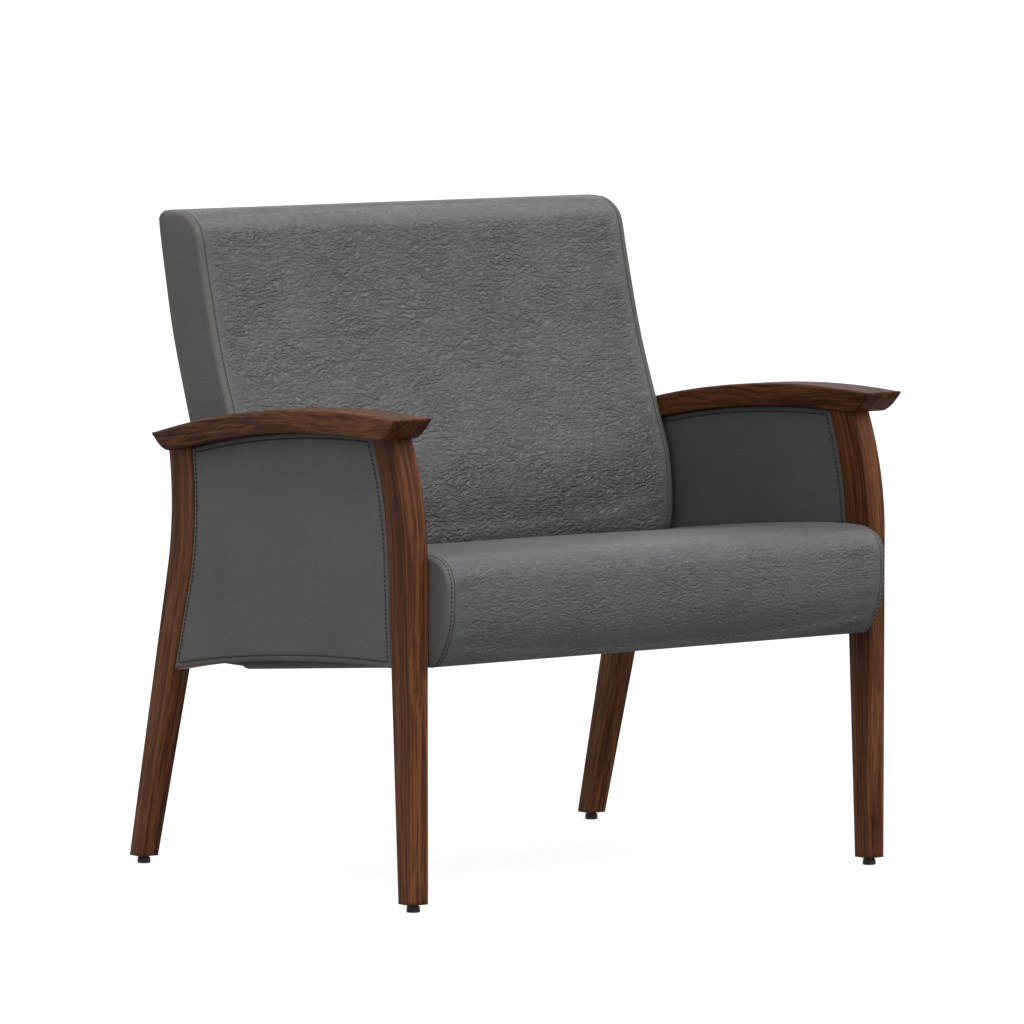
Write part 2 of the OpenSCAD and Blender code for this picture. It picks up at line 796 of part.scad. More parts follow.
module back_end(side) {
    color(vinyl) centred() on_side(side) difference() {
        end_panel(back_outline, back_frame_half);
        back_bolt_axes(bolt_d + 2 * fit, back_frame_half - over, back_half + over);
    }
}

module back_end_left() {
    back_end(-1);
}

module back_end_right() {
    back_end(1);
}

// The strip that closes the underside of the back and runs up behind the seat
module back_under_cover() {
    rear = back_outline[len(back_outline) - 1];
    color(vinyl) centred() difference() {
        slab([rear, back_outline[0], back_outline[1], back_pocket[1], back_pocket[0],
              [rear[0], stile_foot_z]], -back_frame_half, back_frame_half);
        bracket_room();
    }
}

// The foam lies ahead of the frame and wraps over its head
module back_foam() {
    behind = concat([[foam_rear[0][0], back_under_z]], foam_rear,
                    [frame_head, frame_head + [back_depth, 0],
                     [frame_head[0] + back_depth, back_under_z]]);
    color(foam_yellow) centred() difference() {
        slab(grown(back_outline, -cover_t - fit), -back_frame_half, back_frame_half);
        slab(behind, -back_half, back_half);
        bracket_room();
    }
}

module back_stile(side) {
    color(inner_wood) centred() on_side(side) difference() {
        slab(frame_outline, stile_in_x, back_frame_half);
        back_bolt_axes(bolt_d + 2 * fit, stile_in_x - over, back_frame_half + over);
    }
}

module back_stile_left() {
    back_stile(-1);
}

module back_stile_right() {
    back_stile(1);
}

// The part of the frame's depth between the stiles and between two heights
module frame_band(z0, z1) {
    intersection() {
        slab(frame_outline, -stile_in_x, stile_in_x);
        translate([-back_half, -base_d, z0]) cube([2 * back_half, 2 * base_d, z1 - z0]);
    }
}

module back_top_rail() {
    color(inner_wood) centred() frame_band(frame_head[1] - back_rail_h, frame_head[1]);
}

module back_bottom_rail() {
    color(inner_wood) centred() difference() {
        frame_band(stile_foot_z, stile_foot_z + back_rail_h);
        back_screws(screw_d + 2 * fit, over, screw_bite_l + fit);
    }
}

// Elastic straps across the front of the frame
strap_shares = [0.24, 0.37, 0.5, 0.63, 0.76, 0.89];
strap_w = 50;
module back_webbing() {
    color(black_cloth) centred() for (s = strap_shares)
        intersection() {
            slab(concat(frame_front, reversed(foam_rear)), -back_frame_half, back_frame_half);
            translate([-back_half, -base_d, between(stile_foot_z, frame_head[1], s) - strap_w / 2])
                cube([2 * back_half, 2 * base_d, strap_w]);
        }
}

// The covered board that closes the rear of the back between the cover's sides
module outside_back_panel() {
    rear = [for (p = reversed(frame_rear)) p + [outside_back_t, 0]];
    color(vinyl) centred() slab(concat(rear, frame_rear), -back_frame_half, back_frame_half);
}

// Bent steel brackets between the seat's rear rail and the back's bottom rail
bracket_x = 150;
bracket_w = 60;
bracket_t = 4;
bracket_h = 36;
bracket_rise = 8;
bracket_low_w = rail_set + bracket_rise;
bracket_low_z = stile_foot_z + bracket_rise;
bracket_corners = [
    seat_point(frame_u1, bracket_low_w),
    seat_point(frame_u1, bracket_low_w + bracket_h),
    [frame_front_y, bracket_low_z + bracket_h],
    [frame_front_y, bracket_low_z]
];
bracket_outline = [
    bracket_corners[0],
    bracket_corners[1],
    seat_point(frame_u1 + bracket_t, bracket_low_w + bracket_h),
    seat_point(frame_u1 + bracket_t, bracket_low_w + bracket_t),
    bracket_corners[3] + [-bracket_t, bracket_t],
    bracket_corners[2] - [bracket_t, 0],
    bracket_corners[2],
    bracket_corners[3]
];

// What encloses a bracket: its outline without the two inner corners of its bend
module bracket_room() {
    around = [for (i = [0, 1, 2, 5, 6, 7]) bracket_outline[i]];
    for (side = [-1, 1]) on_side(side)
        slab(grown(around, fit), bracket_x - fit, bracket_x + bracket_w + fit);
}

module back_bracket(side) {
    color(steel) centred() difference() {
        on_side(side) slab(bracket_outline, bracket_x, bracket_x + bracket_w);
        seat_screws(screw_d + 2 * fit, over, over);
        back_screws(screw_d + 2 * fit, over, over);
    }
}

module back_bracket_left() {
    back_bracket(-1);
}

module back_bracket_right() {
    back_bracket(1);
}

// Screws through the brackets, in shares of a bracket's width and height. A shank or
// head of diameter d starts lead ahead of the plate and ends bite beyond it.
screw_x_shares = [0.25, 0.75];
screw_z_shares = [0.35, 0.75];
screw_head_d = screw_d * 2;

module seat_screws(d, lead, bite) {
    for (side = [-1, 1]) on_side(side) for (sx = screw_x_shares) for (sz = screw_z_shares)
        seat_frame()
            translate([bracket_x + sx * bracket_w, frame_u1 + bracket_t + lead,
                       bracket_low_w + sz * bracket_h])
                rotate([90, 0, 0]) cylinder(d = d, h = lead + bracket_t + bite, $fn = arc_steps);
}

module back_screws(d, lead, bite) {
    for (side = [-1, 1]) on_side(side) for (sx = screw_x_shares) for (sz = screw_z_shares)
        translate([bracket_x + sx * bracket_w, frame_front_y - bracket_t - lead,
                   bracket_low_z + sz * bracket_h])
            rotate([-90, 0, 0]) cylinder(d = d, h = lead + bracket_t + bite, $fn = arc_steps);
}

module bracket_screws() {
    color(steel) centred() {
        seat_screws(screw_d, 0, screw_bite_l);
        seat_screws(screw_head_d, screw_head_h, -bracket_t);
        back_screws(screw_d, 0, screw_bite_l);
        back_screws(screw_head_d, screw_head_h, -bracket_t);
    }
}

// Bolts that hold the seat and the back between the two sides, put in from inside them
bolt_shares = [0.2, 0.5, 0.8];
bolt_head_d = bolt_d * 1.6;
bolt_head_h = bolt_d * 0.6;
washer_d = bolt_d * 2.2;
washer_t = 1.6;
insert_wall = 2.5;
bolt_insert_d = bolt_d + 2 * insert_wall;
bolt_insert_l = 14;
stile_in_x = back_frame_half - rail_t;
upper_bolt_drop = 38;
lower_bolt_z = stile_foot_z + back_rail_h + washer_d;
upper_bolt_z = arm_plain(waist_y) - upper_bolt_drop;
lower_back_bolt = [stile_mid(lower_bolt_z), lower_bolt_z];
upper_back_bolt = [stile_mid(upper_bolt_z), upper_bolt_z];

module seat_bolt_axes(d, x0, x1) {
    for (s = bolt_shares)
        along_x(seat_point(s * seat_l, rail_set + seat_rail_h / 2), d, x0, x1);
}

module back_bolt_axes(d, x0, x1) {
    along_x(lower_back_bolt, d, x0, x1);
    along_x(upper_back_bolt, d, x0, x1);
}

module seat_bolts() {
    color(steel) centred() for (side = [-1, 1]) on_side(side) {
        seat_bolt_axes(bolt_d, rail_in_x - washer_t, core_in_x + bolt_insert_l - over);
        seat_bolt_axes(bolt_head_d, rail_in_x - washer_t - bolt_head_h, rail_in_x - washer_t);
    }
}

module back_bolts() {
    color(steel) centred() for (side = [-1, 1]) on_side(side) {
        along_x(lower_back_bolt, bolt_d, stile_in_x - washer_t, core_in_x + bolt_insert_l - over);
        along_x(upper_back_bolt, bolt_d, stile_in_x - washer_t, leg_in_x + bolt_insert_l - over);
        back_bolt_axes(bolt_head_d, stile_in_x - washer_t - bolt_head_h, stile_in_x - washer_t);
    }
}

module bolt_washers() {
    hole_d = bolt_d + 2 * fit;
    color(steel) centred() for (side = [-1, 1]) on_side(side) difference() {
        union() {
            seat_bolt_axes(washer_d, rail_in_x - washer_t, rail_in_x);
            back_bolt_axes(washer_d, stile_in_x - washer_t, stile_in_x);
        }
        seat_bolt_axes(hole_d, rail_in_x - washer_t - over, rail_in_x + over);
        back_bolt_axes(hole_d, stile_in_x - washer_t - over, stile_in_x + over);
    }
}

module threaded_inserts() {
    bore_d = bolt_d + 2 * fit;
    color(steel) centred() for (side = [-1, 1]) on_side(side) difference() {
        union() {
            seat_bolt_axes(bolt_insert_d, core_in_x, core_in_x + bolt_insert_l);
            along_x(lower_back_bolt, bolt_insert_d, core_in_x, core_in_x + bolt_insert_l);
            along_x(upper_back_bolt, bolt_insert_d, leg_in_x, leg_in_x + bolt_insert_l);
        }
        seat_bolt_axes(bore_d, core_in_x - over, core_in_x + bolt_insert_l + over);
        back_bolt_axes(bore_d, leg_in_x - over, core_in_x + bolt_insert_l + over);
    }
}

// Glides

foot_flange_d = 18;
foot_flange_t = 1.2;
stem_room = 31;
socket_z = 3.4;
socket_h = 2.4;
flange_over = 2;
pad_ease = 1;
pad_taper = 0.5;

module at_glide(side, y) {
    centred() on_side(side) translate([leg_mid_x, y, 0]) children();
}

// Turned and flanged inserts let into the feet of the legs
module glide_inserts() {
    color(steel) for (side = [-1, 1]) for (y = [front_glide_y, rear_glide_y])
        at_glide(side, y) translate([0, 0, leg_z]) difference() {
            union() {
                cylinder(d = foot_flange_d, h = foot_flange_t, $fn = arc_steps);
                cylinder(d = insert_d, h = insert_l, $fn = arc_steps);
            }
            translate([0, 0, -over])
                cylinder(d = stem_d + 2 * run, h = insert_l + 2 * over, $fn = arc_steps);
        }
}

// The pad stays still on the floor and holds the round flange of the stem in its socket
module glide_pad(side, y) {
    color(black) at_glide(side, y) difference() {
        union() {
            cylinder(d1 = pad_d - 2 * pad_ease, d2 = pad_d, h = pad_ease, $fn = arc_steps);
            translate([0, 0, pad_ease])
                cylinder(d1 = pad_d, d2 = pad_d - 2 * pad_taper, h = pad_h - pad_ease,
                         $fn = arc_steps);
        }
        translate([0, 0, socket_z])
            cylinder(d = stem_d + 2 * flange_over + 2 * glide_gap, h = socket_h, $fn = arc_steps);
        translate([0, 0, socket_z])
            cylinder(d = stem_d + 2 * run, h = pad_h, $fn = arc_steps);
    }
}

// The stem turns in the pad and screws in or out of the insert
module glide_stem(side, y) {
    color(steel) at_glide(side, y) {
        translate([0, 0, socket_z + glide_gap])
            cylinder(d = stem_d, h = stem_l, $fn = arc_steps);
        translate([0, 0, socket_z + glide_gap])
            cylinder(d = stem_d + 2 * flange_over, h = socket_h - 2 * glide_gap, $fn = arc_steps);
        translate([0, 0, collar_z])
            cylinder(d = collar_af / cos(30), h = collar_h, $fn = 6);
    }
}

module glide_pad_front_left() {
    glide_pad(-1, front_glide_y);
}

module glide_pad_front_right() {
    glide_pad(1, front_glide_y);
}

module glide_pad_rear_left() {
    glide_pad(-1, rear_glide_y);
}

module glide_pad_rear_right() {
    glide_pad(1, rear_glide_y);
}

module glide_stem_front_left() {
    glide_stem(-1, front_glide_y);
}

module glide_stem_front_right() {
    glide_stem(1, front_glide_y);
}

module glide_stem_rear_left() {
    glide_stem(-1, rear_glide_y);
}

module glide_stem_rear_right() {
    glide_stem(1, rear_glide_y);
}

front_leg_left();
front_leg_right();
rear_leg_left();
rear_leg_right();
arm_cap_left();
arm_cap_right();
side_rail_left();
side_rail_right();
side_board_left();
side_board_right();
side_cover_outer_left();
side_cover_outer_right();
side_cover_inner_left();
side_cover_inner_right();
arm_dowels();
rail_dowels();
seat_front_rail();
seat_rear_rail();
seat_side_rail_left();
seat_side_rail_right();
seat_corner_blocks();
seat_steel_bars();
seat_deck();
seat_foam();
seat_cover();
seat_end_left();
seat_end_right();
seat_dust_cover();
back_stile_left();
back_stile_right();
back_top_rail();
back_bottom_rail();
back_webbing();
back_foam();
back_cover();
back_end_left();
back_end_right();
back_under_cover();
outside_back_panel();
back_bracket_left();
back_bracket_right();
bracket_screws();
seat_bolts();
back_bolts();
bolt_washers();
threaded_inserts();
glide_inserts();
glide_pad_front_left();
glide_pad_front_right();
glide_pad_rear_left();
glide_pad_rear_right();
glide_stem_front_left();
glide_stem_front_right();
glide_stem_rear_left();
glide_stem_rear_right();
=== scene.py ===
import json
import math
import bpy
import numpy as np
from mathutils import Matrix, Vector


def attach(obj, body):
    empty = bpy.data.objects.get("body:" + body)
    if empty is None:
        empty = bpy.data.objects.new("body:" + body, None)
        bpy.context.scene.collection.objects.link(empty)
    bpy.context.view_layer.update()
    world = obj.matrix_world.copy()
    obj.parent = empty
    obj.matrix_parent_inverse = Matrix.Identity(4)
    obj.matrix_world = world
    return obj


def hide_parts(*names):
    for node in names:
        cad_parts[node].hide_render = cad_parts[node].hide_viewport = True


# Metres, +Z up, front towards -Y. Shapes are drawn round the middle of the four glides
# and moved back by midY at the end, because the frame's origin is under the bounding box.
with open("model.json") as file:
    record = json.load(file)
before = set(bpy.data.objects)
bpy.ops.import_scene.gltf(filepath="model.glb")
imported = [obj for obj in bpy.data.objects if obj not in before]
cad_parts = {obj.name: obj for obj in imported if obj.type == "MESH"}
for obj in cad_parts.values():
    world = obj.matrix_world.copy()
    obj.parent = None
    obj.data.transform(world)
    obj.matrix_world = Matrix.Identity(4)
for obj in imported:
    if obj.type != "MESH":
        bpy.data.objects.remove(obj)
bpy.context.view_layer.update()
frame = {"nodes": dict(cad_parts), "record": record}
midY = -0.0228546
mm = 0.001
sides = {"left": -1, "right": 1}


# ---- shader helpers

def shaderNode(tree, kind, inputs=None, **settings):
    made = tree.nodes.new("ShaderNode" + kind)
    for key, value in settings.items():
        setattr(made, key, value)
    for key, value in (inputs or {}).items():
        if isinstance(value, bpy.types.NodeSocket):
            tree.links.new(value, made.inputs[key])
        else:
            made.inputs[key].default_value = value
    return made


def newMaterial(name, **principled):
    material = bpy.data.materials.new(name)
    material.use_nodes = True
    tree = material.node_tree
    shader = tree.nodes["Principled BSDF"]
    for key, value in principled.items():
        shader.inputs[key.replace("_", " ")].default_value = value
    return material, tree, shader


def grey(level):
    return (level, level, level)


def stretched(tree, source, scale, offset=(0, 0, 0)):
    mapping = shaderNode(tree, "Mapping", {"Vector": source, "Scale": scale, "Location": offset})
    return mapping.outputs["Vector"]


def noise(tree, vector, detail=3.0, roughness=0.5, distortion=0.0):
    made = shaderNode(tree, "TexNoise", {"Vector": vector, "Scale": 1.0, "Detail": detail,
                                         "Roughness": roughness, "Distortion": distortion})
    return made.outputs["Fac"]


def math2(tree, operation, a, b=0.0):
    return shaderNode(tree, "Math", {0: a, 1: b}, operation=operation).outputs[0]


def vectorMath(tree, operation, a, b):
    return shaderNode(tree, "VectorMath", {0: a, 1: b}, operation=operation).outputs[0]


def drifted(tree, source, scale, reach):
    # Each point moved by a coloured noise: p + reach (noise - 0.5)
    inputs = {"Vector": stretched(tree, source, scale), "Scale": 1.0, "Detail": 2.0}
    drift = shaderNode(tree, "TexNoise", inputs).outputs["Color"]
    centred = vectorMath(tree, "SUBTRACT", drift, grey(0.5))
    return vectorMath(tree, "ADD", source, vectorMath(tree, "MULTIPLY", centred, reach))


def ramp(tree, source, places, colours):
    made = shaderNode(tree, "ValToRGB", {"Fac": source})
    elements = made.color_ramp.elements
    while len(elements) < len(places):
        elements.new(0.5)
    for element, place, colour in zip(elements, places, colours):
        element.position = place
        element.color = (*colour, 1)
    return made.outputs["Color"]


def multiplied(tree, share, a, b):
    made = shaderNode(tree, "Mix", data_type="RGBA", blend_type="MULTIPLY")
    made.inputs[0].default_value = share
    tree.links.new(a, made.inputs[6])
    tree.links.new(b, made.inputs[7])
    return made.outputs[2]


def bump(tree, height, distance, strength=1.0, below=None):
    inputs = {"Height": height, "Distance": distance, "Strength": strength}
    if below is not None:
        inputs["Normal"] = below
    return shaderNode(tree, "Bump", inputs).outputs["Normal"]


# ---- materials

walnut = {"dark": (0.017, 0.0052, 0.0020), "mid": (0.086, 0.0260, 0.0085), "light": (0.185, 0.066, 0.022),
          "bandPlaces": (0.34, 0.47, 0.60, 0.74), "drift": (5, 5, 5), "specular": 0.20,
          "streaks": (230, 230, 2.6), "streakNoise": {"detail": 5.0, "roughness": 0.62},
          "pores": (900, 900, 17), "poreNoise": {"detail": 3.0, "roughness": 0.6},
          "figure": (26, 26, 2.2), "figureNoise": {"detail": 3.0, "distortion": 0.6},
          "streakShare": 0.62, "figureShare": 0.38, "poreShare": 0.85, "poreShade": (0.30, 0.27, 0.26),
          "poreEnds": (0.36, 0.50), "rough": (0.62, 0.40), "roughEnds": (0.36, 0.55),
          "poreDepth": 0.22 * mm, "poreStrength": 0.55, "streakDepth": 0.3 * mm, "streakStrength": 0.25}


def makeWood(name, tone, wave):
    # Grain runs along the third of a piece's own grain coordinates, in metres
    material, tree, shader = newMaterial(name, Specular_IOR_Level=walnut["specular"])
    grain = shaderNode(tree, "Attribute", attribute_name="grain").outputs["Vector"]
    warped = drifted(tree, grain, walnut["drift"], (wave, wave, 0))
    streaks = noise(tree, stretched(tree, warped, walnut["streaks"]), **walnut["streakNoise"])
    pores = noise(tree, stretched(tree, warped, walnut["pores"]), **walnut["poreNoise"])
    figure = noise(tree, stretched(tree, warped, walnut["figure"]), **walnut["figureNoise"])
    bands = math2(tree, "ADD", math2(tree, "MULTIPLY", streaks, walnut["streakShare"]),
                  math2(tree, "MULTIPLY", figure, walnut["figureShare"]))
    tones = [tuple(c * tone for c in walnut[key]) for key in ("dark", "mid", "light", "mid")]
    colour = ramp(tree, bands, walnut["bandPlaces"], tones)
    darkPores = ramp(tree, pores, walnut["poreEnds"], (walnut["poreShade"], grey(1)))
    tree.links.new(multiplied(tree, walnut["poreShare"], colour, darkPores), shader.inputs["Base Color"])
    gloss = ramp(tree, pores, walnut["roughEnds"], [grey(rough) for rough in walnut["rough"]])
    tree.links.new(gloss, shader.inputs["Roughness"])
    normal = bump(tree, pores, walnut["poreDepth"], walnut["poreStrength"])
    normal = bump(tree, streaks, walnut["streakDepth"], walnut["streakStrength"], normal)
    tree.links.new(normal, shader.inputs["Normal"])
    return material


# Two keys near the end set how much painted shade darkens the base colour in the creases.
vinyl = {"drift": (45, 80, 30), "reach": (0.020, 0.014, 0), "specular": 0.5, "sheen": 0.05, "sheenRough": 0.4,
         "creaseStretch": (0.50, 1.15), "creaseNoise": {"detail": 2.4, "roughness": 0.5}, "creaseSteep": 6.0,
         "creaseSoft": 0.5, "creaseShare": 0.75, "fineStretch": (1.0, 2.3), "fineOffset": (3.1, 0.7, 0),
         "fineNoise": {"detail": 3.0, "roughness": 0.6}, "fineShare": 1.1, "patches": (14, 20, 9),
         "patchOffset": (0.4, 2.2, 0), "patchEnds": (0.36, 0.60), "patchLeast": 0.30,
         "reliefDepth": 2.8 * mm, "cells": 620.0, "cellDepth": 0.4 * mm, "tint": (7, 7, 7), "tintRange": 0.10,
         "tintEnds": (0.30, 0.70), "paintedShadeDepth": 0.22, "paintedShadeEnd": 0.4, "creaseRough": 0.16, "roughEnd": 0.8}


def makeVinyl(name, colour, crinkle, pebble, roughness, pitch, folds=True):
    # Creases lie along the first of a piece's own skin coordinates, which are in metres.
    # A crease is where a stretched noise passes its middle value: relief = min(1, k |n - 0.5|).
    # The piece's folds attribute says how deep they are at each point.
    material, tree, shader = newMaterial(name, Sheen_Weight=vinyl["sheen"],
                                         Sheen_Roughness=vinyl["sheenRough"],
                                         Specular_IOR_Level=vinyl["specular"])
    skin = shaderNode(tree, "Attribute", attribute_name="skin").outputs["Vector"]
    warped = drifted(tree, skin, vinyl["drift"], vinyl["reach"])
    along, across = [pitch * s for s in vinyl["creaseStretch"]]
    wide = noise(tree, stretched(tree, warped, (along, across, 1)), **vinyl["creaseNoise"])
    away = math2(tree, "ABSOLUTE", math2(tree, "SUBTRACT", wide, 0.5))
    steeper = math2(tree, "MULTIPLY", away, vinyl["creaseSteep"])
    creases = shaderNode(tree, "Math", {0: steeper, 1: 1.0, 2: vinyl["creaseSoft"]},
                         operation="SMOOTH_MIN").outputs[0]
    patches = noise(tree, stretched(tree, skin, vinyl["patches"], vinyl["patchOffset"]), detail=2.0)
    patches = ramp(tree, patches, vinyl["patchEnds"], (grey(vinyl["patchLeast"]), grey(1)))
    along, across = [pitch * s for s in vinyl["fineStretch"]]
    fine = noise(tree, stretched(tree, warped, (along, across, 1), vinyl["fineOffset"]), **vinyl["fineNoise"])
    relief = math2(tree, "MULTIPLY", creases, patches)
    relief = math2(tree, "ADD", math2(tree, "MULTIPLY", relief, vinyl["creaseShare"]),
                   math2(tree, "MULTIPLY", fine, vinyl["fineShare"]))
    cells = shaderNode(tree, "TexVoronoi", {"Vector": skin, "Scale": vinyl["cells"]},
                       feature="SMOOTH_F1").outputs["Distance"]
    strength = crinkle
    if folds:
        depth = shaderNode(tree, "Attribute", attribute_name="folds").outputs["Fac"]
        strength = math2(tree, "MULTIPLY", depth, crinkle)
    normal = bump(tree, relief, vinyl["reliefDepth"], strength)
    tree.links.new(bump(tree, cells, vinyl["cellDepth"], pebble, normal), shader.inputs["Normal"])
    tint = noise(tree, stretched(tree, skin, vinyl["tint"]))
    tones = [tuple(c * (1 + sign * vinyl["tintRange"]) for c in colour) for sign in (-1, 1)]
    base = ramp(tree, tint, vinyl["tintEnds"], tones)
    # Painted shade: the base colour is darkened along the creases, more deeply on the more crinkled covers.
    paintedCreaseShade = ramp(tree, creases, (0, vinyl["paintedShadeEnd"]), (grey(1 - vinyl["paintedShadeDepth"] * crinkle), grey(1)))
    tree.links.new(multiplied(tree, 1.0, base, paintedCreaseShade), shader.inputs["Base Color"])
    levels = (grey(roughness + vinyl["creaseRough"]), grey(roughness))
    gloss = ramp(tree, creases, (0, vinyl["roughEnd"]), levels)
    tree.links.new(gloss, shader.inputs["Roughness"])
    return material


plain = {"noise": {"detail": 4.0, "roughness": 0.6}, "ends": (0.3, 0.7), "roughRange": 0.15, "strength": 0.6}
weave = {"roughness": 0.9, "sheen": 0.2, "ends": (0.1, 0.8), "depth": 0.2 * mm, "strength": 0.7}


def makePlain(name, low, high, scale, roughness, metallic=0.0, depth=0.1 * mm, stretch=(1, 1, 1)):
    # Two tones of one colour in a noise of the stated scale, with a slight relief
    material, tree, shader = newMaterial(name, Metallic=metallic)
    place = shaderNode(tree, "TexCoord").outputs["Object"]
    grain = noise(tree, stretched(tree, place, tuple(scale * s for s in stretch)), **plain["noise"])
    tree.links.new(ramp(tree, grain, plain["ends"], (low, high)), shader.inputs["Base Color"])
    levels = [grey(min(1, roughness * (1 + sign * plain["roughRange"]))) for sign in (-1, 1)]
    tree.links.new(ramp(tree, grain, plain["ends"], levels), shader.inputs["Roughness"])
    tree.links.new(bump(tree, grain, depth, plain["strength"]), shader.inputs["Normal"])
    return material


def makeWeave(name, low, high, pitch):
    # Two crossed waves give the threads of a plain weave
    material, tree, shader = newMaterial(name, Roughness=weave["roughness"], Sheen_Weight=weave["sheen"])
    place = shaderNode(tree, "TexCoord").outputs["Object"]
    waves = [shaderNode(tree, "TexWave", {"Vector": place, "Scale": pitch},
                        bands_direction=axis).outputs["Fac"] for axis in "XY"]
    threads = math2(tree, "MULTIPLY", *waves)
    tree.links.new(ramp(tree, threads, weave["ends"], (low, high)), shader.inputs["Base Color"])
    tree.links.new(bump(tree, threads, weave["depth"], weave["strength"]), shader.inputs["Normal"])
    return material


legWood = makeWood("walnutLegs", tone=1.12, wave=0.012)
armWood = makeWood("walnutArms", tone=0.92, wave=0.040)
seatVinyl = makeVinyl("crinkledVinyl", (0.114, 0.116, 0.119), crinkle=0.70, pebble=0.2, roughness=0.37,
                      pitch=135)
backVinyl = makeVinyl("crinkledVinylBack", (0.119, 0.120, 0.121), crinkle=1.0, pebble=0.2, roughness=0.38,
                      pitch=128)
sideVinyl = makeVinyl("sideVinyl", (0.106, 0.104, 0.101), crinkle=0.10, pebble=0.5, roughness=0.50, pitch=190,
                      folds=False)
# A darker copy of the side vinyl for the panels' inner faces: painted shade for the shadow that falls between
# the arms, seat and back.
shadedInnerVinyl = makeVinyl("sideVinylInnerPaintedShade", (0.076, 0.079, 0.079), crinkle=0.12, pebble=0.5, roughness=0.50,
                       pitch=190, folds=False)
thread = makePlain("sewingThread", (0.006, 0.006, 0.008), (0.02, 0.02, 0.024), scale=900, roughness=0.7)
plastic = makePlain("blackNylon", grey(0.008), grey(0.016), scale=1400, roughness=0.55)
steel = makePlain("zincSteel", (0.50, 0.50, 0.52), (0.66, 0.67, 0.69), scale=420, roughness=0.32,
                  metallic=1.0, depth=0.03 * mm, stretch=(1, 1, 6))
hardwood = makePlain("hardwood", (0.42, 0.27, 0.13), (0.62, 0.44, 0.25), scale=60, roughness=0.6,
                     depth=0.2 * mm, stretch=(0.2, 1, 1))
plywood = makePlain("plywood", (0.40, 0.26, 0.13), (0.58, 0.41, 0.23), scale=45, roughness=0.6,
                    depth=0.2 * mm, stretch=(0.2, 1, 3))
foam = makePlain("foam", (0.70, 0.58, 0.28), (0.86, 0.76, 0.44), scale=800, roughness=0.95, depth=0.6 * mm)
blackCloth = makeWeave("dustCloth", grey(0.008), (0.028, 0.028, 0.030), pitch=420)

nodeMaterials = {
    "show_wood": legWood, "frame_wood": hardwood, "plywood": plywood, "seat_vinyl": seatVinyl,
    "side_vinyl": sideVinyl, "foam": foam, "black_cloth": blackCloth, "steel": steel,
    "black_steel": plastic, "glide_plastic": plastic}
for entry in frame["record"]["subparts"]:
    for materialSlot in frame["nodes"][entry["node"]].material_slots:
        materialSlot.link = "OBJECT"
        materialSlot.material = nodeMaterials[entry["material_slot"]]
print("materials made")


# ---- mesh helpers

def makeObject(name, points, faces, material, **attributes):
    # points are drawn round the middle of the glides; attributes are vectors in metres
    placed = np.asarray(points, dtype=float) - np.array([0, midY, 0])
    mesh = bpy.data.meshes.new(name)
    mesh.from_pydata(placed.tolist(), [], faces)
    mesh.update()
    for key, values in attributes.items():
        made = mesh.attributes.new(key, "FLOAT_VECTOR", "POINT")
        made.data.foreach_set("vector", np.asarray(values, dtype=np.float32).ravel())
    mesh.polygons.foreach_set("use_smooth", [True] * len(mesh.polygons))
    mesh.materials.append(material)
    made = bpy.data.objects.new(name, mesh)
    bpy.context.scene.collection.objects.link(made)
    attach(made, "chair")
    return made


def tubeFaces(rows, count):
    # Quads between rows of count points, each row closed on itself
    j, i = np.meshgrid(np.arange(rows - 1), np.arange(count), indexing="ij")
    a = j * count + i
    b = j * count + (i + 1) % count
    return np.stack([a, b, b + count, a + count], -1).reshape(-1, 4).tolist()


def tubeWithCaps(rows, count, flip):
    faces = tubeFaces(rows, count)
    last = (rows - 1) * count
    faces += [list(range(count))[::-1], list(range(last, last + count))]
    return [f[::-1] for f in faces] if flip else faces


def gridBorder(rows, columns):
    # Indices round the rim of a grid of points that is stored column by column
    return ([k * columns for k in range(rows)] + [(rows - 1) * columns + k for k in range(1, columns)]
            + [k * columns + columns - 1 for k in range(rows - 2, -1, -1)]
            + list(range(columns - 2, 0, -1)))


def roundedRing(x0, x1, y0, y1, radii, perCorner=6):
    # Points of a rectangle with rounded corners, counter-clockwise in its plane
    angles = np.linspace(0, math.pi / 2, perCorner)
    ring = []
    for k, (cx, cy) in enumerate(((x1, y1), (x0, y1), (x0, y0), (x1, y0))):
        r = radii[k]
        inX = cx - r if cx == x1 else cx + r
        inY = cy - r if cy == y1 else cy + r
        turn = angles + k * math.pi / 2
        ring += [(inX + r * math.cos(t), inY + r * math.sin(t)) for t in turn]
    return np.array(ring)


def smoothLine(points, steps):
    # Catmull-Rom curve through the points: each span is a cubic of its four neighbours
    p = np.asarray(points, dtype=float)
    padded = np.vstack([p[:1], p, p[-1:]])
    out = []
    for i in range(1, len(p)):
        a, b, c, d = padded[i - 1], padded[i], padded[i + 1], padded[i + 2]
        for t in np.arange(steps) / steps:
            out.append((2 * b + (c - a) * t + (2 * a - 5 * b + 4 * c - d) * t ** 2
                        + (3 * b - a - 3 * c + d) * t ** 3) / 2)
    out.append(p[-1])
    return np.array(out)


def runLength(points):
    return np.concatenate([[0], np.cumsum(np.linalg.norm(np.diff(points, axis=0), axis=1))])


def resampled(points, count):
    # count evenly spaced points of a closed outline, and how far along it each one lies
    p = np.vstack([points, points[:1]])
    run = runLength(p)
    places = np.linspace(0, run[-1], count + 1)
    out = np.stack([np.interp(places, run, p[:, k]) for k in range(p.shape[1])], -1)
    return out[:-1], places[:-1]


def outward(points):
    # Unit normals of a closed clockwise outline, averaged from its two edges at each point
    edges = np.roll(points, -1, axis=0) - points
    normals = np.stack([-edges[:, 1], edges[:, 0]], -1)
    normals /= np.linalg.norm(normals, axis=1, keepdims=True) + 1e-12
    both = normals + np.roll(normals, 1, axis=0)
    return both / (np.linalg.norm(both, axis=1, keepdims=True) + 1e-12)


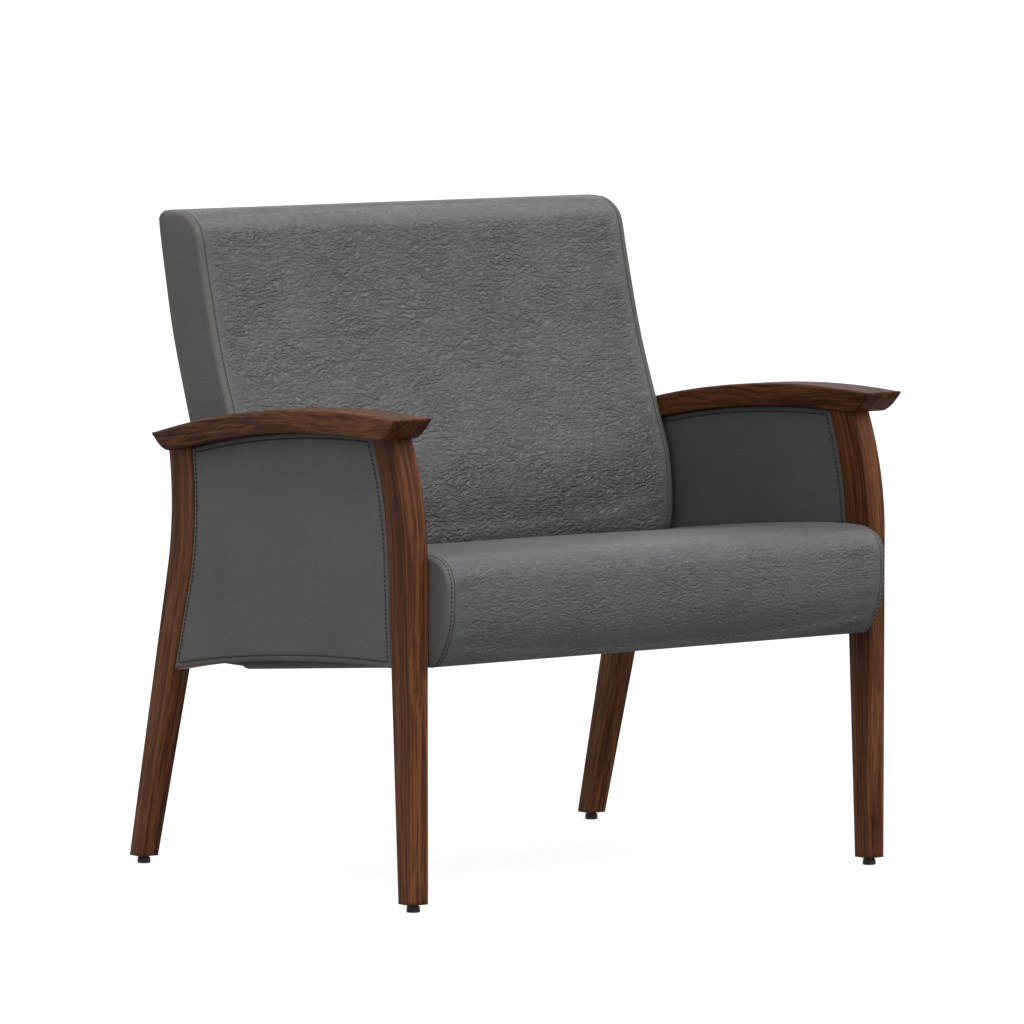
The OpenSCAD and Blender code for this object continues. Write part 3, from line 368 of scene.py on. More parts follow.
def softNoise(count, smoothing, seed):
    # Repeatable smooth random row in -1..1
    values = np.random.default_rng(seed).normal(size=count + 8 * smoothing)
    kernel = np.hanning(2 * smoothing + 1)
    values = np.convolve(values, kernel / kernel.sum(), "same")[4 * smoothing:4 * smoothing + count]
    return values / (np.abs(values).max() + 1e-9)


def roundedEdge(away, radius):
    # How far the face lies back at a distance from the edge: r - sqrt(r^2 - (r - away)^2)
    return radius - np.sqrt(np.maximum(radius ** 2 - (radius - np.clip(away, 0, radius)) ** 2, 0))


# Lengths along a stitch, its thickness there and its height there in thread radii
stitch = {"length": 4.6 * mm, "gap": 1.5 * mm, "radius": 0.65 * mm, "sink": 0.10 * mm, "sides": 6,
          "shares": [0, 0.12, 0.35, 0.65, 0.88, 1], "girth": [0.25, 0.85, 1, 1, 0.85, 0.25],
          "dip": [-1.1, -0.35, 0.25, 0.25, -0.35, -1.1]}


def threadRow(name, path, normals, closed=False):
    # A row of short threads laid end to end: each is a six-sided capsule along the path
    path, normals = np.asarray(path, dtype=float), np.asarray(normals, dtype=float)
    if closed:
        path, normals = np.vstack([path, path[:1]]), np.vstack([normals, normals[:1]])
    run = runLength(path)
    starts = np.arange(stitch["gap"], run[-1] - stitch["length"], stitch["length"] + stitch["gap"])
    shares = np.array(stitch["shares"])
    girth = np.array(stitch["girth"]) * stitch["radius"]
    dip = np.array(stitch["dip"]) * stitch["radius"]
    places = starts[:, None] + shares[None] * stitch["length"]
    at = np.stack([np.interp(places, run, path[:, k]) for k in range(3)], -1)
    up = np.stack([np.interp(places, run, normals[:, k]) for k in range(3)], -1)
    up /= np.linalg.norm(up, axis=-1, keepdims=True)
    ahead = np.gradient(at, axis=1)
    ahead /= np.linalg.norm(ahead, axis=-1, keepdims=True)
    side = np.cross(ahead, up)
    turn = np.arange(stitch["sides"]) * 2 * math.pi / stitch["sides"]
    ring = (np.cos(turn)[None, None, :, None] * side[:, :, None]
            + np.sin(turn)[None, None, :, None] * up[:, :, None])
    centre = at + up * (dip - stitch["sink"])[None, :, None]
    points = (centre[:, :, None] + ring * girth[None, :, None, None]).reshape(-1, 3)
    one = np.array(tubeFaces(len(shares), stitch["sides"]))
    perStitch = len(shares) * stitch["sides"]
    faces = (one[None] + (np.arange(len(starts)) * perStitch)[:, None, None]).reshape(-1, 4)
    made = makeObject(name, points, faces.tolist(), thread)


# ---- legs and arm caps

leg = {"inner": 0.3705, "outer": 0.400, "foot": 0.0285, "footZ": 0.0104, "ease": 0.0026,
       "kneeZ": 0.450, "kneeDepth": 0.0493, "kneeDrop": 0.962, "kneeFrontR": 0.400, "kneeRearR": 0.450,
       "waistZ": 0.500, "waistDepth": 0.0513, "waistLead": 0.1138, "waistFrontR": 0.430,
       "waistRearR": 0.415, "glideY": 0.306, "letIn": 0.014, "tuck": 0.0001, "rings": 110,
       "frontShift": (0.3, 0), "rearShift": (0.9, 2)}
arm = {"inner": 0.3657, "outer": 0.4257, "thick": 0.031, "crest": 0.646, "crestBack": 0.1184,
       "sweep": 1.714, "rearOver": 0.0067, "tip": 0.003, "frontCut": 0.040, "rearCut": 0.038,
       "topRound": 0.0042, "underRound": 0.0026, "cutPower": 1.8, "rings": 170, "crowding": 0.72,
       "grainBow": 0.55, "shift": (1.7, 4)}


def edgeAt(foot, waist, radius, z):
    # A straight line from the foot that runs into an arc whose most forward point is the waist
    centre = np.array(waist) + [radius, 0]
    gap = centre - np.array(foot)
    reach = np.linalg.norm(gap)
    slope = math.atan2(gap[1], gap[0]) + math.asin(radius / reach)
    top = foot[1] + math.sqrt(reach ** 2 - radius ** 2) * math.sin(slope)
    line = foot[0] + (z - foot[1]) / math.tan(slope)
    arc = centre[0] - np.sqrt(np.maximum(radius ** 2 - (z - centre[1]) ** 2, 0))
    return np.where(z < top, line, arc)


frontFoot = (-leg["glideY"] - leg["foot"] / 2, leg["footZ"])
rearFoot = (leg["glideY"] - leg["foot"] / 2, leg["footZ"])
waistY = leg["glideY"] - leg["waistLead"]
kneeRearY = frontFoot[0] + leg["kneeDepth"]
armFrontY = frontFoot[0]
armRearY = waistY + leg["waistDepth"] / 2 + arm["rearOver"]


def frontLegFront(z):
    return edgeAt(frontFoot, (frontFoot[0], leg["kneeZ"]), leg["kneeFrontR"], z)


def frontLegRear(z):
    foot = (frontFoot[0] + leg["foot"], leg["footZ"])
    return edgeAt(foot, (kneeRearY, leg["kneeZ"] * leg["kneeDrop"]), leg["kneeRearR"], z)


def rearLegFront(z):
    return edgeAt(rearFoot, (waistY - leg["waistDepth"] / 2, leg["waistZ"]), leg["waistFrontR"], z)


def rearLegRear(z):
    foot = (rearFoot[0] + leg["foot"], leg["footZ"])
    edge = edgeAt(foot, (waistY + leg["waistDepth"] / 2, leg["waistZ"]), leg["waistRearR"], z)
    return np.where(z > leg["waistZ"], np.minimum(edge, armRearY - leg["tuck"]), edge)


def armTop(y):
    # Top of an arc, taken as a parabola: crest - (y - crestY)^2 / (2 sweep)
    return arm["crest"] - (y - armFrontY - arm["crestBack"]) ** 2 / (2 * arm["sweep"])


def armUnder(y):
    # The plain underside, raised at both tips by a convex undercut
    share = np.minimum((y - armFrontY) / arm["frontCut"], (armRearY - y) / arm["rearCut"])
    cut = 1 - (1 - np.clip(share, 0, 1)) ** arm["cutPower"]
    tip = armTop(y) - arm["tip"]
    return tip + (armTop(y) - arm["thick"] - tip) * cut


def buildLeg(name, side, front, rear, topZ, node, shift):
    # Rounded rectangles stacked from foot to top; shift sets the leg's place in the grain
    heights = np.linspace(leg["footZ"], topZ, leg["rings"])
    points, grain = [], []
    for z in heights:
        y0, y1 = float(front(z)), float(rear(z))
        ring = roundedRing(leg["inner"], leg["outer"], y0, y1, [leg["ease"]] * 4)
        middle = (y0 + y1) / 2
        points.append(np.column_stack([ring[:, 0] * side, ring[:, 1], np.full(len(ring), z)]))
        grain.append(np.column_stack([ring[:, 0] + shift, ring[:, 1] - middle, np.full(len(ring), z)]))
    faces = tubeWithCaps(len(heights), len(points[0]), side < 0)
    made = makeObject(name, np.vstack(points), faces, legWood, grain=np.vstack(grain))
    for polygon in list(made.data.polygons)[-2:]:
        polygon.use_smooth = False
    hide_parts(node)


def buildArm(name, side, node, shift):
    # Rings from front to rear that crowd at both tips; the grain follows part of the bow
    share = np.linspace(0, 1, arm["rings"])
    crowded = share - np.sin(2 * math.pi * share) / (2 * math.pi) * arm["crowding"]
    places = armFrontY + (armRearY - armFrontY) * crowded
    points, grain = [], []
    for y in places:
        low, high = float(armUnder(y)), float(armTop(y))
        top = min(arm["topRound"], (high - low) / 3)
        under = min(arm["underRound"], (high - low) / 3)
        ring = roundedRing(arm["inner"], arm["outer"], low, high, [top, top, under, under])
        bow = armTop(y) - arm["crest"]
        points.append(np.column_stack([ring[:, 0] * side, np.full(len(ring), y), ring[:, 1]]))
        grain.append(np.column_stack([ring[:, 0] + shift, ring[:, 1] - bow * arm["grainBow"],
                                      np.full(len(ring), y)]))
    faces = tubeWithCaps(len(places), len(points[0]), side > 0)
    made = makeObject(name, np.vstack(points), faces, armWood, grain=np.vstack(grain))
    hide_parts(node)


def shifted(pair, side):
    return pair[0] * side + pair[1]


for word, side in sides.items():
    title = word.capitalize()
    frontTop = float(armTop(kneeRearY)) - leg["letIn"]
    rearTop = float(armTop(armRearY)) - arm["tip"] - leg["tuck"]
    buildLeg("frontLeg" + title, side, frontLegFront, frontLegRear, frontTop, "front_leg_" + word,
             shifted(leg["frontShift"], side))
    buildLeg("rearLeg" + title, side, rearLegFront, rearLegRear, rearTop, "rear_leg_" + word,
             shifted(leg["rearShift"], side))
    buildArm("armCap" + title, side, "arm_cap_" + word, shifted(arm["shift"], side))
print("legs and arm caps made")


# ---- side panels

panel = {"gap": 0.4 * mm, "topGap": 0.2 * mm, "underZ": 0.3155, "arch": 2.850, "recess": 0.8 * mm,
         "proud": 0.4 * mm, "coreIn": 5.8 * mm, "edgeRound": 3.2 * mm, "puff": 1.2 * mm, "puffFrom": 4 * mm,
         "puffReach": 30 * mm, "stitchIn": 7.5 * mm, "threadSink": 0.1 * mm, "groove": 0.6 * mm,
         "grooveWide": 1.1 * mm, "pucker": 0.12 * mm, "puckerReach": 12 * mm, "steps": 161, "grid": 46,
         "size": (0.42, 0.28), "frontTopZ": 0.615, "rearTopZ": 0.572, "rearLowZ": 0.272,
         "outerSeed": 11, "innerSeed": 21}
# Distances from a side's ends, in mm, where the edge rounding and stitching need points
rimPlaces = [0, 0.35, 0.9, 1.7, 2.8, 4.2, 5.6, 6.6, 7.1, 7.5, 7.9, 8.4, 9.4, 11.5, 15]
panelFrontY = float(frontLegRear(panel["underZ"]))


def archZ(y):
    return panel["underZ"] - panel["arch"] + np.sqrt(panel["arch"] ** 2 - (y - panelFrontY) ** 2)


def panelSides(steps):
    # The four edges of a panel: front, top, rear and arched underside, each from low or front
    gap, drop = panel["gap"], panel["topGap"]
    highFront = float(armTop(frontLegRear(panel["frontTopZ"])) - arm["thick"]) - drop
    highRear = float(armTop(rearLegFront(panel["rearTopZ"])) - arm["thick"]) - drop
    lowRear = float(archZ(rearLegFront(panel["rearLowZ"])))
    t = np.linspace(0, 1, steps)
    frontZ = panel["underZ"] + (highFront - panel["underZ"]) * t
    rearZ = lowRear + (highRear - lowRear) * t
    front = np.stack([frontLegRear(frontZ) + gap, frontZ], -1)
    rear = np.stack([rearLegFront(rearZ) - gap, rearZ], -1)
    topY = front[-1, 0] + (rear[-1, 0] - front[-1, 0]) * t
    top = np.stack([topY, armTop(topY) - arm["thick"] - drop], -1)
    lowY = front[0, 0] + (rear[0, 0] - front[0, 0]) * t
    low = np.stack([lowY, archZ(lowY)], -1)
    return front, top, rear, low


def edgeShares(size, count):
    # Shares of a side that crowd towards both ends
    near = np.array(rimPlaces) * mm / size
    inner = np.linspace(near[-1], 1 - near[-1], count)[1:-1]
    return np.concatenate([near, inner, 1 - near[::-1]])


def along(line, s):
    places = np.linspace(0, 1, len(line))
    return np.stack([np.interp(s, places, line[:, k]) for k in (0, 1)], -1)


def insetLine(rim, distance, count=480, slack=0.985):
    # The closed rim moved inwards, without the points that would come too near to it
    ring, _ = resampled(rim, count)
    turned = np.roll(ring, -1, axis=0) - np.roll(ring, 1, axis=0)
    area = np.sum(ring[:, 0] * np.roll(ring[:, 1], -1) - np.roll(ring[:, 0], -1) * ring[:, 1])
    inward = np.stack([-turned[:, 1], turned[:, 0]], -1) * (1 if area > 0 else -1)
    inward /= np.linalg.norm(inward, axis=1, keepdims=True)
    moved = ring + inward * distance
    gaps = np.linalg.norm(moved[:, None] - ring[None], axis=-1).min(axis=1)
    return moved[gaps > distance * slack]


def buildPanel(name, side, node, baseX, faceX, material, seed):
    # Coons patch: each point blends the four edges; its height over the base depends on
    # how far it lies from the nearest edge
    front, top, rear, low = panelSides(panel["steps"])
    u, v = [edgeShares(size, panel["grid"]) for size in panel["size"]]
    u, v = u[:, None], v[None, :]
    c00, c10, c01, c11 = front[0], rear[0], front[-1], rear[-1]
    flat = (along(low, u) * (1 - v)[..., None] + along(top, u) * v[..., None]
            + along(front, v) * (1 - u)[..., None] + along(rear, v) * u[..., None]
            - ((1 - u) * (1 - v))[..., None] * c00 - (u * (1 - v))[..., None] * c10
            - ((1 - u) * v)[..., None] * c01 - (u * v)[..., None] * c11)
    rows, columns = flat.shape[:2]
    rim = np.vstack([low, rear, top[::-1], front[::-1]])
    away = np.full((rows, columns), np.inf)
    for a, b in zip(rim, np.roll(rim, -1, axis=0)):
        ab = b - a
        t = np.clip(((flat - a) @ ab) / (ab @ ab + 1e-12), 0, 1)
        away = np.minimum(away, np.linalg.norm(flat - a - t[..., None] * ab, axis=-1))
    rounding = roundedEdge(away, panel["edgeRound"])
    groove = panel["groove"] * np.exp(-((away - panel["stitchIn"]) / panel["grooveWide"]) ** 2)
    pucker = softNoise(rows * columns, 3, seed).reshape(rows, columns) * panel["pucker"]
    pucker = pucker * np.exp(-away / panel["puckerReach"])
    fill = 1 - np.exp(-np.maximum(away - panel["puffFrom"], 0) / panel["puffReach"])
    puff = panel["puff"] * fill + pucker
    sign = 1 if faceX > baseX else -1
    x = faceX - sign * (rounding + groove - puff + panel["puff"])
    face = np.stack([x * side, flat[..., 0], flat[..., 1]], -1).reshape(-1, 3)
    skin = np.stack([flat[..., 0] + seed, flat[..., 1], np.zeros_like(away)], -1).reshape(-1, 3)
    i, j = np.meshgrid(np.arange(rows - 1), np.arange(columns - 1), indexing="ij")
    a = i * columns + j
    faces = np.stack([a, a + columns, a + columns + 1, a + 1], -1).reshape(-1, 4).tolist()
    border = gridBorder(rows, columns)
    start = rows * columns
    rimPoints = face[border].copy()
    rimPoints[:, 0] = baseX * side
    for k in range(len(border)):
        n = (k + 1) % len(border)
        faces.append([border[n], border[k], start + k, start + n])
    faces.append(list(range(start, start + len(border))))
    if sign * side < 0:
        faces = [f[::-1] for f in faces]
    made = makeObject(name, np.vstack([face, rimPoints]), faces, material,
                      skin=np.vstack([skin, skin[border]]))
    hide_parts(node)
    inset = insetLine(rim, panel["stitchIn"])
    line = np.column_stack([np.full(len(inset), (faceX - sign * panel["threadSink"]) * side), inset])
    threadRow(name + "Stitches", line, np.tile([sign * side, 0, 0], (len(inset), 1)), closed=True)


for word, side in sides.items():
    title = word.capitalize()
    innerFace = leg["inner"] + panel["recess"] - panel["proud"]
    outerFace = leg["outer"] - panel["recess"] + panel["proud"]
    core = leg["inner"] + panel["coreIn"]
    buildPanel("sidePanelOuter" + title, side, "side_cover_outer_" + word, core, outerFace, sideVinyl,
               panel["outerSeed"] + side)
    # The inner faces take the darker copy of the side vinyl, which is painted shade.
    buildPanel("sidePanelInner" + title, side, "side_cover_inner_" + word, core, innerFace, shadedInnerVinyl,
               panel["innerSeed"] + side)
print("side panels made")


# ---- seat and back cushions

# Shares are of the nose, length and thickness; stitches run over stitchSpan of the outline
seat = {"tilt": math.radians(5.2), "front": (-0.3244, 0.3188), "length": 0.424949, "thick": 0.151,
        "nose": 0.0445, "half": 0.3685, "crown": 5.8 * mm, "cap": 4.5 * mm, "pressure": 4.0,
        "endPuff": 1.0 * mm, "stitchIn": 5.5 * mm, "stitchSpan": (0.40, 0.93), "seed": 31,
        "corner": 4 * mm, "cornerIn": 1 * mm, "noseFlat": 8 * mm,
        "noseShares": [(0, 0), (0.45, 0.135), (0.86, 0.37), (1, 0.64), (0.96, 0.78), (0.72, 0.885),
                       (0.15, 0.955), (-0.9, 0.985)],
        "topShares": [(0.22, 1), (0.48, 1.007), (0.78, 0.995), (0.955, 0.98), (1, 0.92)],
        "softFrom": 4 * mm, "softReach": 50 * mm, "underReach": 30 * mm, "noseReach": 20 * mm,
        "calm": 0.28, "calmFrom": 0.97, "calmReach": 0.35}
back = {"half": 0.3645, "crown": 4.8 * mm, "cap": 4.5 * mm, "pressure": 4.0,
        "endPuff": 2.2 * mm, "stitchIn": 10.5 * mm, "stitchSpan": (0.14, 0.54), "seed": 41,
        "lap": 0.0195, "depth": 0.206, "top": 0.888, "step": 2.7 * mm, "gap": 0.5 * mm,
        "corner": 4 * mm, "toe": 3 * mm, "tuckShares": [0.018, 0.35, 0.7, 0.93],
        "frontShares": [(0.02, 0.024), (0, 0.121), (0.035, 0.25), (0.15, 0.379), (0.345, 0.599),
                        (0.495, 0.832), (0.55, 0.929), (0.605, 0.966), (0.72, 0.993), (0.87, 0.998),
                        (0.950, 0.996), (0.982, 0.987)],
        "rearShares": [(0.997, 0.968), (0.935, 0.86), (0.84, 0.72), (0.70, 0.575), (0.52, 0.395),
                       (0.435, 0.28), (0.425, 0.2), (0.425, 0)],
        "softFrom": 12 * mm, "softReach": 50 * mm, "calm": 0.15, "calmFrom": 0.62, "calmReach": 0.25,
        "rearFrom": 0.2, "rearReach": 0.4}
seam = {"across": 92, "around": 190, "perSpan": 8, "roll": 9.0 * mm, "drawIn": 6.0 * mm, "groove": 2.0 * mm,
        "grooveAt": 10.5 * mm, "grooveWide": 0.65 * mm, "plainFrom": 16.5 * mm, "pull": 0.45 * mm,
        "pullReach": 10 * mm, "pullFrom": 9.5 * mm, "pullSpacing": 2 * mm, "foldReach": 20 * mm, "laces": 7,
        "laceEase": 8, "heldTo": 14 * mm, "softLeast": 0.12, "threadRise": 0.35 * mm,
        "drawLeast": 0.3 * mm, "slack": 0.96,
        "places": [0, 0.08, 0.3, 0.7, 1.3, 2.1, 3.1, 4.2, 5.4, 6.6, 7.8, 8.8, 9.4, 9.8, 10.15, 10.5, 10.85,
                   11.2, 11.6, 12.3, 13.5, 15]}
cloth = {"frames": 20, "quality": 5, "mass": 0.35, "stretch": 12, "bending": 0.4}


def seamDraw(toEnd):
    # How far a ring is drawn in near an end: a quarter ellipse, then the groove of the seam,
    # d = drawIn (1 - sqrt(1 - (1 - t / roll)^2)) + groove exp(-((t - grooveAt) / grooveWide)^2)
    lean = 1 - np.minimum(toEnd, seam["roll"]) / seam["roll"]
    groove = np.exp(-((toEnd - seam["grooveAt"]) / seam["grooveWide"]) ** 2)
    return seam["drawIn"] * (1 - np.sqrt(1 - lean ** 2)) + seam["groove"] * groove


def drawnRing(ring, normals, depth):
    # The outline moved inwards; where it would cross itself, points are spread between good ones
    moved = ring - normals * depth
    if depth < seam["drawLeast"]:
        return moved
    gaps = np.linalg.norm(moved[:, None] - ring[None], axis=-1).min(axis=1)
    index = np.arange(len(ring))
    good = gaps > depth * seam["slack"]
    return np.stack([np.interp(index, index[good], moved[good, k], period=len(ring)) for k in (0, 1)], -1)


def seatPoint(u, w):
    c, s = math.cos(seat["tilt"]), math.sin(seat["tilt"])
    return (seat["front"][0] + u * c + w * s, seat["front"][1] + w * c - u * s)


def seatOutline():
    nose = [(-a * seat["nose"], b * seat["thick"]) for a, b in seat["noseShares"]]
    top = [(a * seat["length"], b * seat["thick"]) for a, b in seat["topShares"]]
    curve = smoothLine(nose + top, seam["perSpan"]).tolist()
    far, r, s = seat["length"], seat["corner"], seat["cornerIn"]
    line = [(far, 0.5 * seat["thick"]), (far, r), (far - s, s), (far - r, 0), (seat["noseFlat"], 0)] + curve
    return np.array([seatPoint(u, w) for u, w in line])


creaseY, creaseZ = seatPoint(seat["length"], seat["thick"])
lumbarY = creaseY - back["lap"]
backLowZ = seatPoint(seat["length"], 0)[1] + back["step"]


def backPoint(share):
    return (lumbarY + share[0] * back["depth"], backLowZ + share[1] * (back["top"] - backLowZ))


def backOutline():
    tuck = [seatPoint(seat["length"] + back["gap"], s * seat["thick"]) for s in back["tuckShares"]]
    front = [(lumbarY + a * back["depth"], tuck[-1][1] + b * (back["top"] - tuck[-1][1]))
             for a, b in back["frontShares"]]
    rear = [backPoint(s) for s in back["rearShares"]]
    upper = smoothLine([tuck[-1]] + front + rear[:-1], seam["perSpan"]).tolist()
    (lowY, lowZ), r = rear[-1], back["corner"]
    start = [((tuck[0][0] + lowY) / 2, backLowZ), (tuck[0][0] + back["toe"], backLowZ)]
    return np.array(start + tuck[:3] + upper + [(lowY, lowZ + r), (lowY - r, lowZ)])


def inflate(piece, held, pressure, cap):
    # Cloth under pressure between its seams; a point moves by cap times tanh(move / cap)
    mesh = piece.data
    before = np.empty(len(mesh.vertices) * 3)
    mesh.vertices.foreach_get("co", before)
    group = piece.vertex_groups.new(name="held")
    group.add([int(k) for k in held], 1.0, "REPLACE")
    modifier = piece.modifiers.new("cloth", "CLOTH")
    modifier.settings.vertex_group_mass = "held"
    modifier.settings.use_pressure = True
    modifier.settings.uniform_pressure_force = pressure
    modifier.settings.effector_weights.gravity = 0
    modifier.settings.quality = cloth["quality"]
    modifier.settings.mass = cloth["mass"]
    modifier.settings.tension_stiffness = cloth["stretch"]
    modifier.settings.compression_stiffness = cloth["stretch"]
    modifier.settings.bending_stiffness = cloth["bending"]
    modifier.collision_settings.use_collision = False
    modifier.point_cache.frame_start, modifier.point_cache.frame_end = 1, cloth["frames"]
    for step in range(1, cloth["frames"] + 1):
        bpy.context.scene.frame_set(step)
    graph = bpy.context.evaluated_depsgraph_get()
    after = np.empty_like(before)
    piece.evaluated_get(graph).data.vertices.foreach_get("co", after)
    piece.modifiers.remove(modifier)
    piece.vertex_groups.remove(group)
    bpy.context.scene.frame_set(1)
    move = (after - before).reshape(-1, 3)
    size = np.linalg.norm(move, axis=1, keepdims=True)
    scale = cap * np.tanh(size / cap) / (size + 1e-9)
    mesh.vertices.foreach_set("co", (before.reshape(-1, 3) + move * scale).ravel())
    mesh.update()
    print(piece.name, "moved by up to", round(float((size * scale).max()) / mm, 2), "mm")


def laceEnd(points, extra, base, count, end, puff):
    # Faces across one end: threads of points from the outline's front half to its rear half,
    # bulged by puff (1 - (2 t - 1)^4)
    laces, pairs = seam["laces"], count // 2
    edge = points[base:base + count]
    ids = np.zeros((pairs, laces + 2), dtype=int)
    faces = []
    for k in range(pairs):
        mate = count - 1 - k
        ids[k, 0], ids[k, -1] = base + k, base + mate
        if k in (0, pairs - 1):
            continue
        for m in range(laces):
            t = (m + 1) / (laces + 1)
            ease = min(1, k / seam["laceEase"], (pairs - 1 - k) / seam["laceEase"])
            bulge = puff * (1 - (2 * t - 1) ** 4) * ease
            ids[k, m + 1] = len(points) + len(extra)
            extra.append(edge[k] * (1 - t) + edge[mate] * t + [end * bulge, 0, 0])
    for k in range(pairs - 1):
        if k == 0 or k == pairs - 2:
            near, far = (k, k + 1) if k == 0 else (k + 1, k)
            loop = [ids[near, 0]] + list(ids[far]) + [ids[near, -1]]
            faces.append(loop[::-1] if k == 0 else loop)
            continue
        for m in range(laces + 1):
            faces.append([ids[k, m], ids[k, m + 1], ids[k + 1, m + 1], ids[k + 1, m]])
    return faces if end < 0 else [f[::-1] for f in faces]


def buildCushion(name, shape, outline, softness, crinkles, material, nodes):
    # The outline is carried across the width, drawn in at both ends by seamDraw and closed there
    ring, run = resampled(outline, seam["around"])
    normals = outward(ring)
    softShares = softness(ring, normals)
    count, half, seed = len(ring), shape["half"], shape["seed"]
    near = np.array(seam["places"]) * mm
    inner = np.linspace(seam["plainFrom"] - half, half - seam["plainFrom"], seam["across"])
    xs = np.concatenate([near - half, inner, (half - near)[::-1]])
    toEnd = half - np.abs(xs)
    swell = shape["crown"] * (1 - np.abs(xs / half) ** 3)
    fromSeam = np.abs(toEnd - seam["grooveAt"])[:, None]
    pulls = softNoise(count, 2, seed)[None, :] * seam["pull"] * np.exp(-fromSeam / seam["pullReach"])
    pulls = pulls * (toEnd > seam["pullFrom"])[:, None]
    spacing = np.linalg.norm(ring - np.roll(ring, 1, axis=0), axis=1)
    ease = np.minimum(1.0, spacing / seam["pullSpacing"])
    drawn = np.stack([drawnRing(ring, normals, float(seamDraw(t))) for t in toEnd])
    offset = swell[:, None] * softShares[None] + pulls * ease[None]
    yz = drawn + normals[None] * offset[..., None]
    rows = len(xs)
    acrossX = np.repeat(xs[:, None], count, 1)
    points = np.concatenate([acrossX[..., None], yz], -1).reshape(-1, 3)
    skin = np.stack([acrossX, np.repeat(run[None], rows, 0), np.zeros((rows, count))], -1).reshape(-1, 3)
    faces = tubeFaces(rows, count)
    shell = len(faces)
    extra = []
    for end, base in ((-1, 0), (1, (rows - 1) * count)):
        faces += laceEnd(points, extra, base, count, end, shape["endPuff"])
    extra = np.array(extra)
    extraSkin = np.column_stack([extra[:, 1] + seed, extra[:, 2], np.zeros(len(extra))])
    faces = [[int(i) for i in f] for f in faces]
    calm = np.clip((toEnd - seam["grooveAt"]) / seam["foldReach"], 0, 1)
    folds = np.concatenate([(calm[:, None] * crinkles(normals)[None]).ravel(), np.zeros(len(extra))])
    made = makeObject(name, np.vstack([points, extra]), faces, material, skin=np.vstack([skin, extraSkin]),
                      folds=np.repeat(folds[:, None], 3, 1))
    made.data.materials.append(sideVinyl)
    boxing = np.zeros(len(faces), dtype=np.int32)
    boxing[shell:] = 1
    strip = np.repeat(np.maximum(toEnd[:-1], toEnd[1:]) < seam["grooveAt"] + 0.1 * mm, count)
    boxing[:shell][strip] = 1
    made.data.polygons.foreach_set("material_index", boxing)
    free = (np.repeat(toEnd, count) > seam["heldTo"]) & (np.tile(softShares, rows) > seam["softLeast"])
    held = np.concatenate([np.nonzero(~free)[0], np.arange(rows * count, len(points) + len(extra))])
    inflate(made, held, shape["pressure"], shape["cap"])
    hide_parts(*nodes)
    t, step = shape["stitchIn"], 0.2 * mm
    lean = -float(seamDraw(t + step) - seamDraw(t - step)) / (2 * step)
    rise = shape["crown"] * (1 - (1 - t / half) ** 3) * softShares + seam["threadRise"]
    first, last = [int(s * count) for s in shape["stitchSpan"]]
    lineYZ = (drawnRing(ring, normals, float(seamDraw(t))) + normals * rise[:, None])[first:last]
    for word, side in sides.items():
        line = np.column_stack([np.full(len(lineYZ), side * (half - t)), lineYZ])
        up = np.column_stack([np.full(len(lineYZ), side * lean), normals[first:last]])
        threadRow(name + "Stitches" + word.capitalize(), line, up)


def seatSoft(ring, normals):
    # Soft where the outline faces up or forward, fading out towards the crease
    facing = np.clip(np.maximum(normals[:, 1], -normals[:, 0]), 0, 1)
    fade = np.clip((creaseY - seat["softFrom"] - ring[:, 0]) / seat["softReach"], 0, 1)
    under = np.clip((ring[:, 1] - seat["front"][1] - seat["softFrom"]) / seat["underReach"], 0, 1)
    return facing * fade * np.where(ring[:, 0] < seat["front"][0] + seat["noseReach"], under, 1)


def backSoft(ring, normals):
    # Soft where the outline faces forward, above the crease
    facing = np.clip(-normals[:, 0], 0, 1)
    return facing * np.clip((ring[:, 1] - creaseZ - back["softFrom"]) / back["softReach"], 0, 1)


def seatCrinkles(normals):
    # Nearly smooth on top, deepest where the outline turns down at the front
    down = np.clip((seat["calmFrom"] - normals[:, 1]) / seat["calmReach"], 0, 1)
    return seat["calm"] + (1 - seat["calm"]) * down


def backCrinkles(normals):
    # Deep on the front, nearly smooth over the top roll and behind it
    front = np.clip((back["rearFrom"] - normals[:, 0]) / back["rearReach"], 0, 1)
    level = np.clip((back["calmFrom"] - normals[:, 1]) / back["calmReach"], 0, 1)
    return back["calm"] + (1 - back["calm"]) * front * level


buildCushion("seatCushion", seat, seatOutline(), seatSoft, seatCrinkles, seatVinyl,
             ["seat_cover", "seat_foam", "seat_end_left", "seat_end_right"])
buildCushion("backCushion", back, backOutline(), backSoft, backCrinkles, backVinyl,
             ["back_cover", "back_foam", "back_end_left", "back_end_right", "back_under_cover"])
print("cushions made")


# ---- outside of the back

outside = {"inset": 10 * mm, "rise": 2.2 * mm, "round": 2.2 * mm, "stitchIn": 6.5 * mm, "high": 0.875,
           "lowIn": 8 * mm, "groove": 0.5 * mm, "grooveWide": 1.0 * mm, "puff": 0.8 * mm,
           "puffReach": 50 * mm, "sink": 4 * mm, "threadSink": 0.1 * mm, "perSpan": 10, "gridUp": 60,
           "gridAcross": 70, "threadPoints": 90}


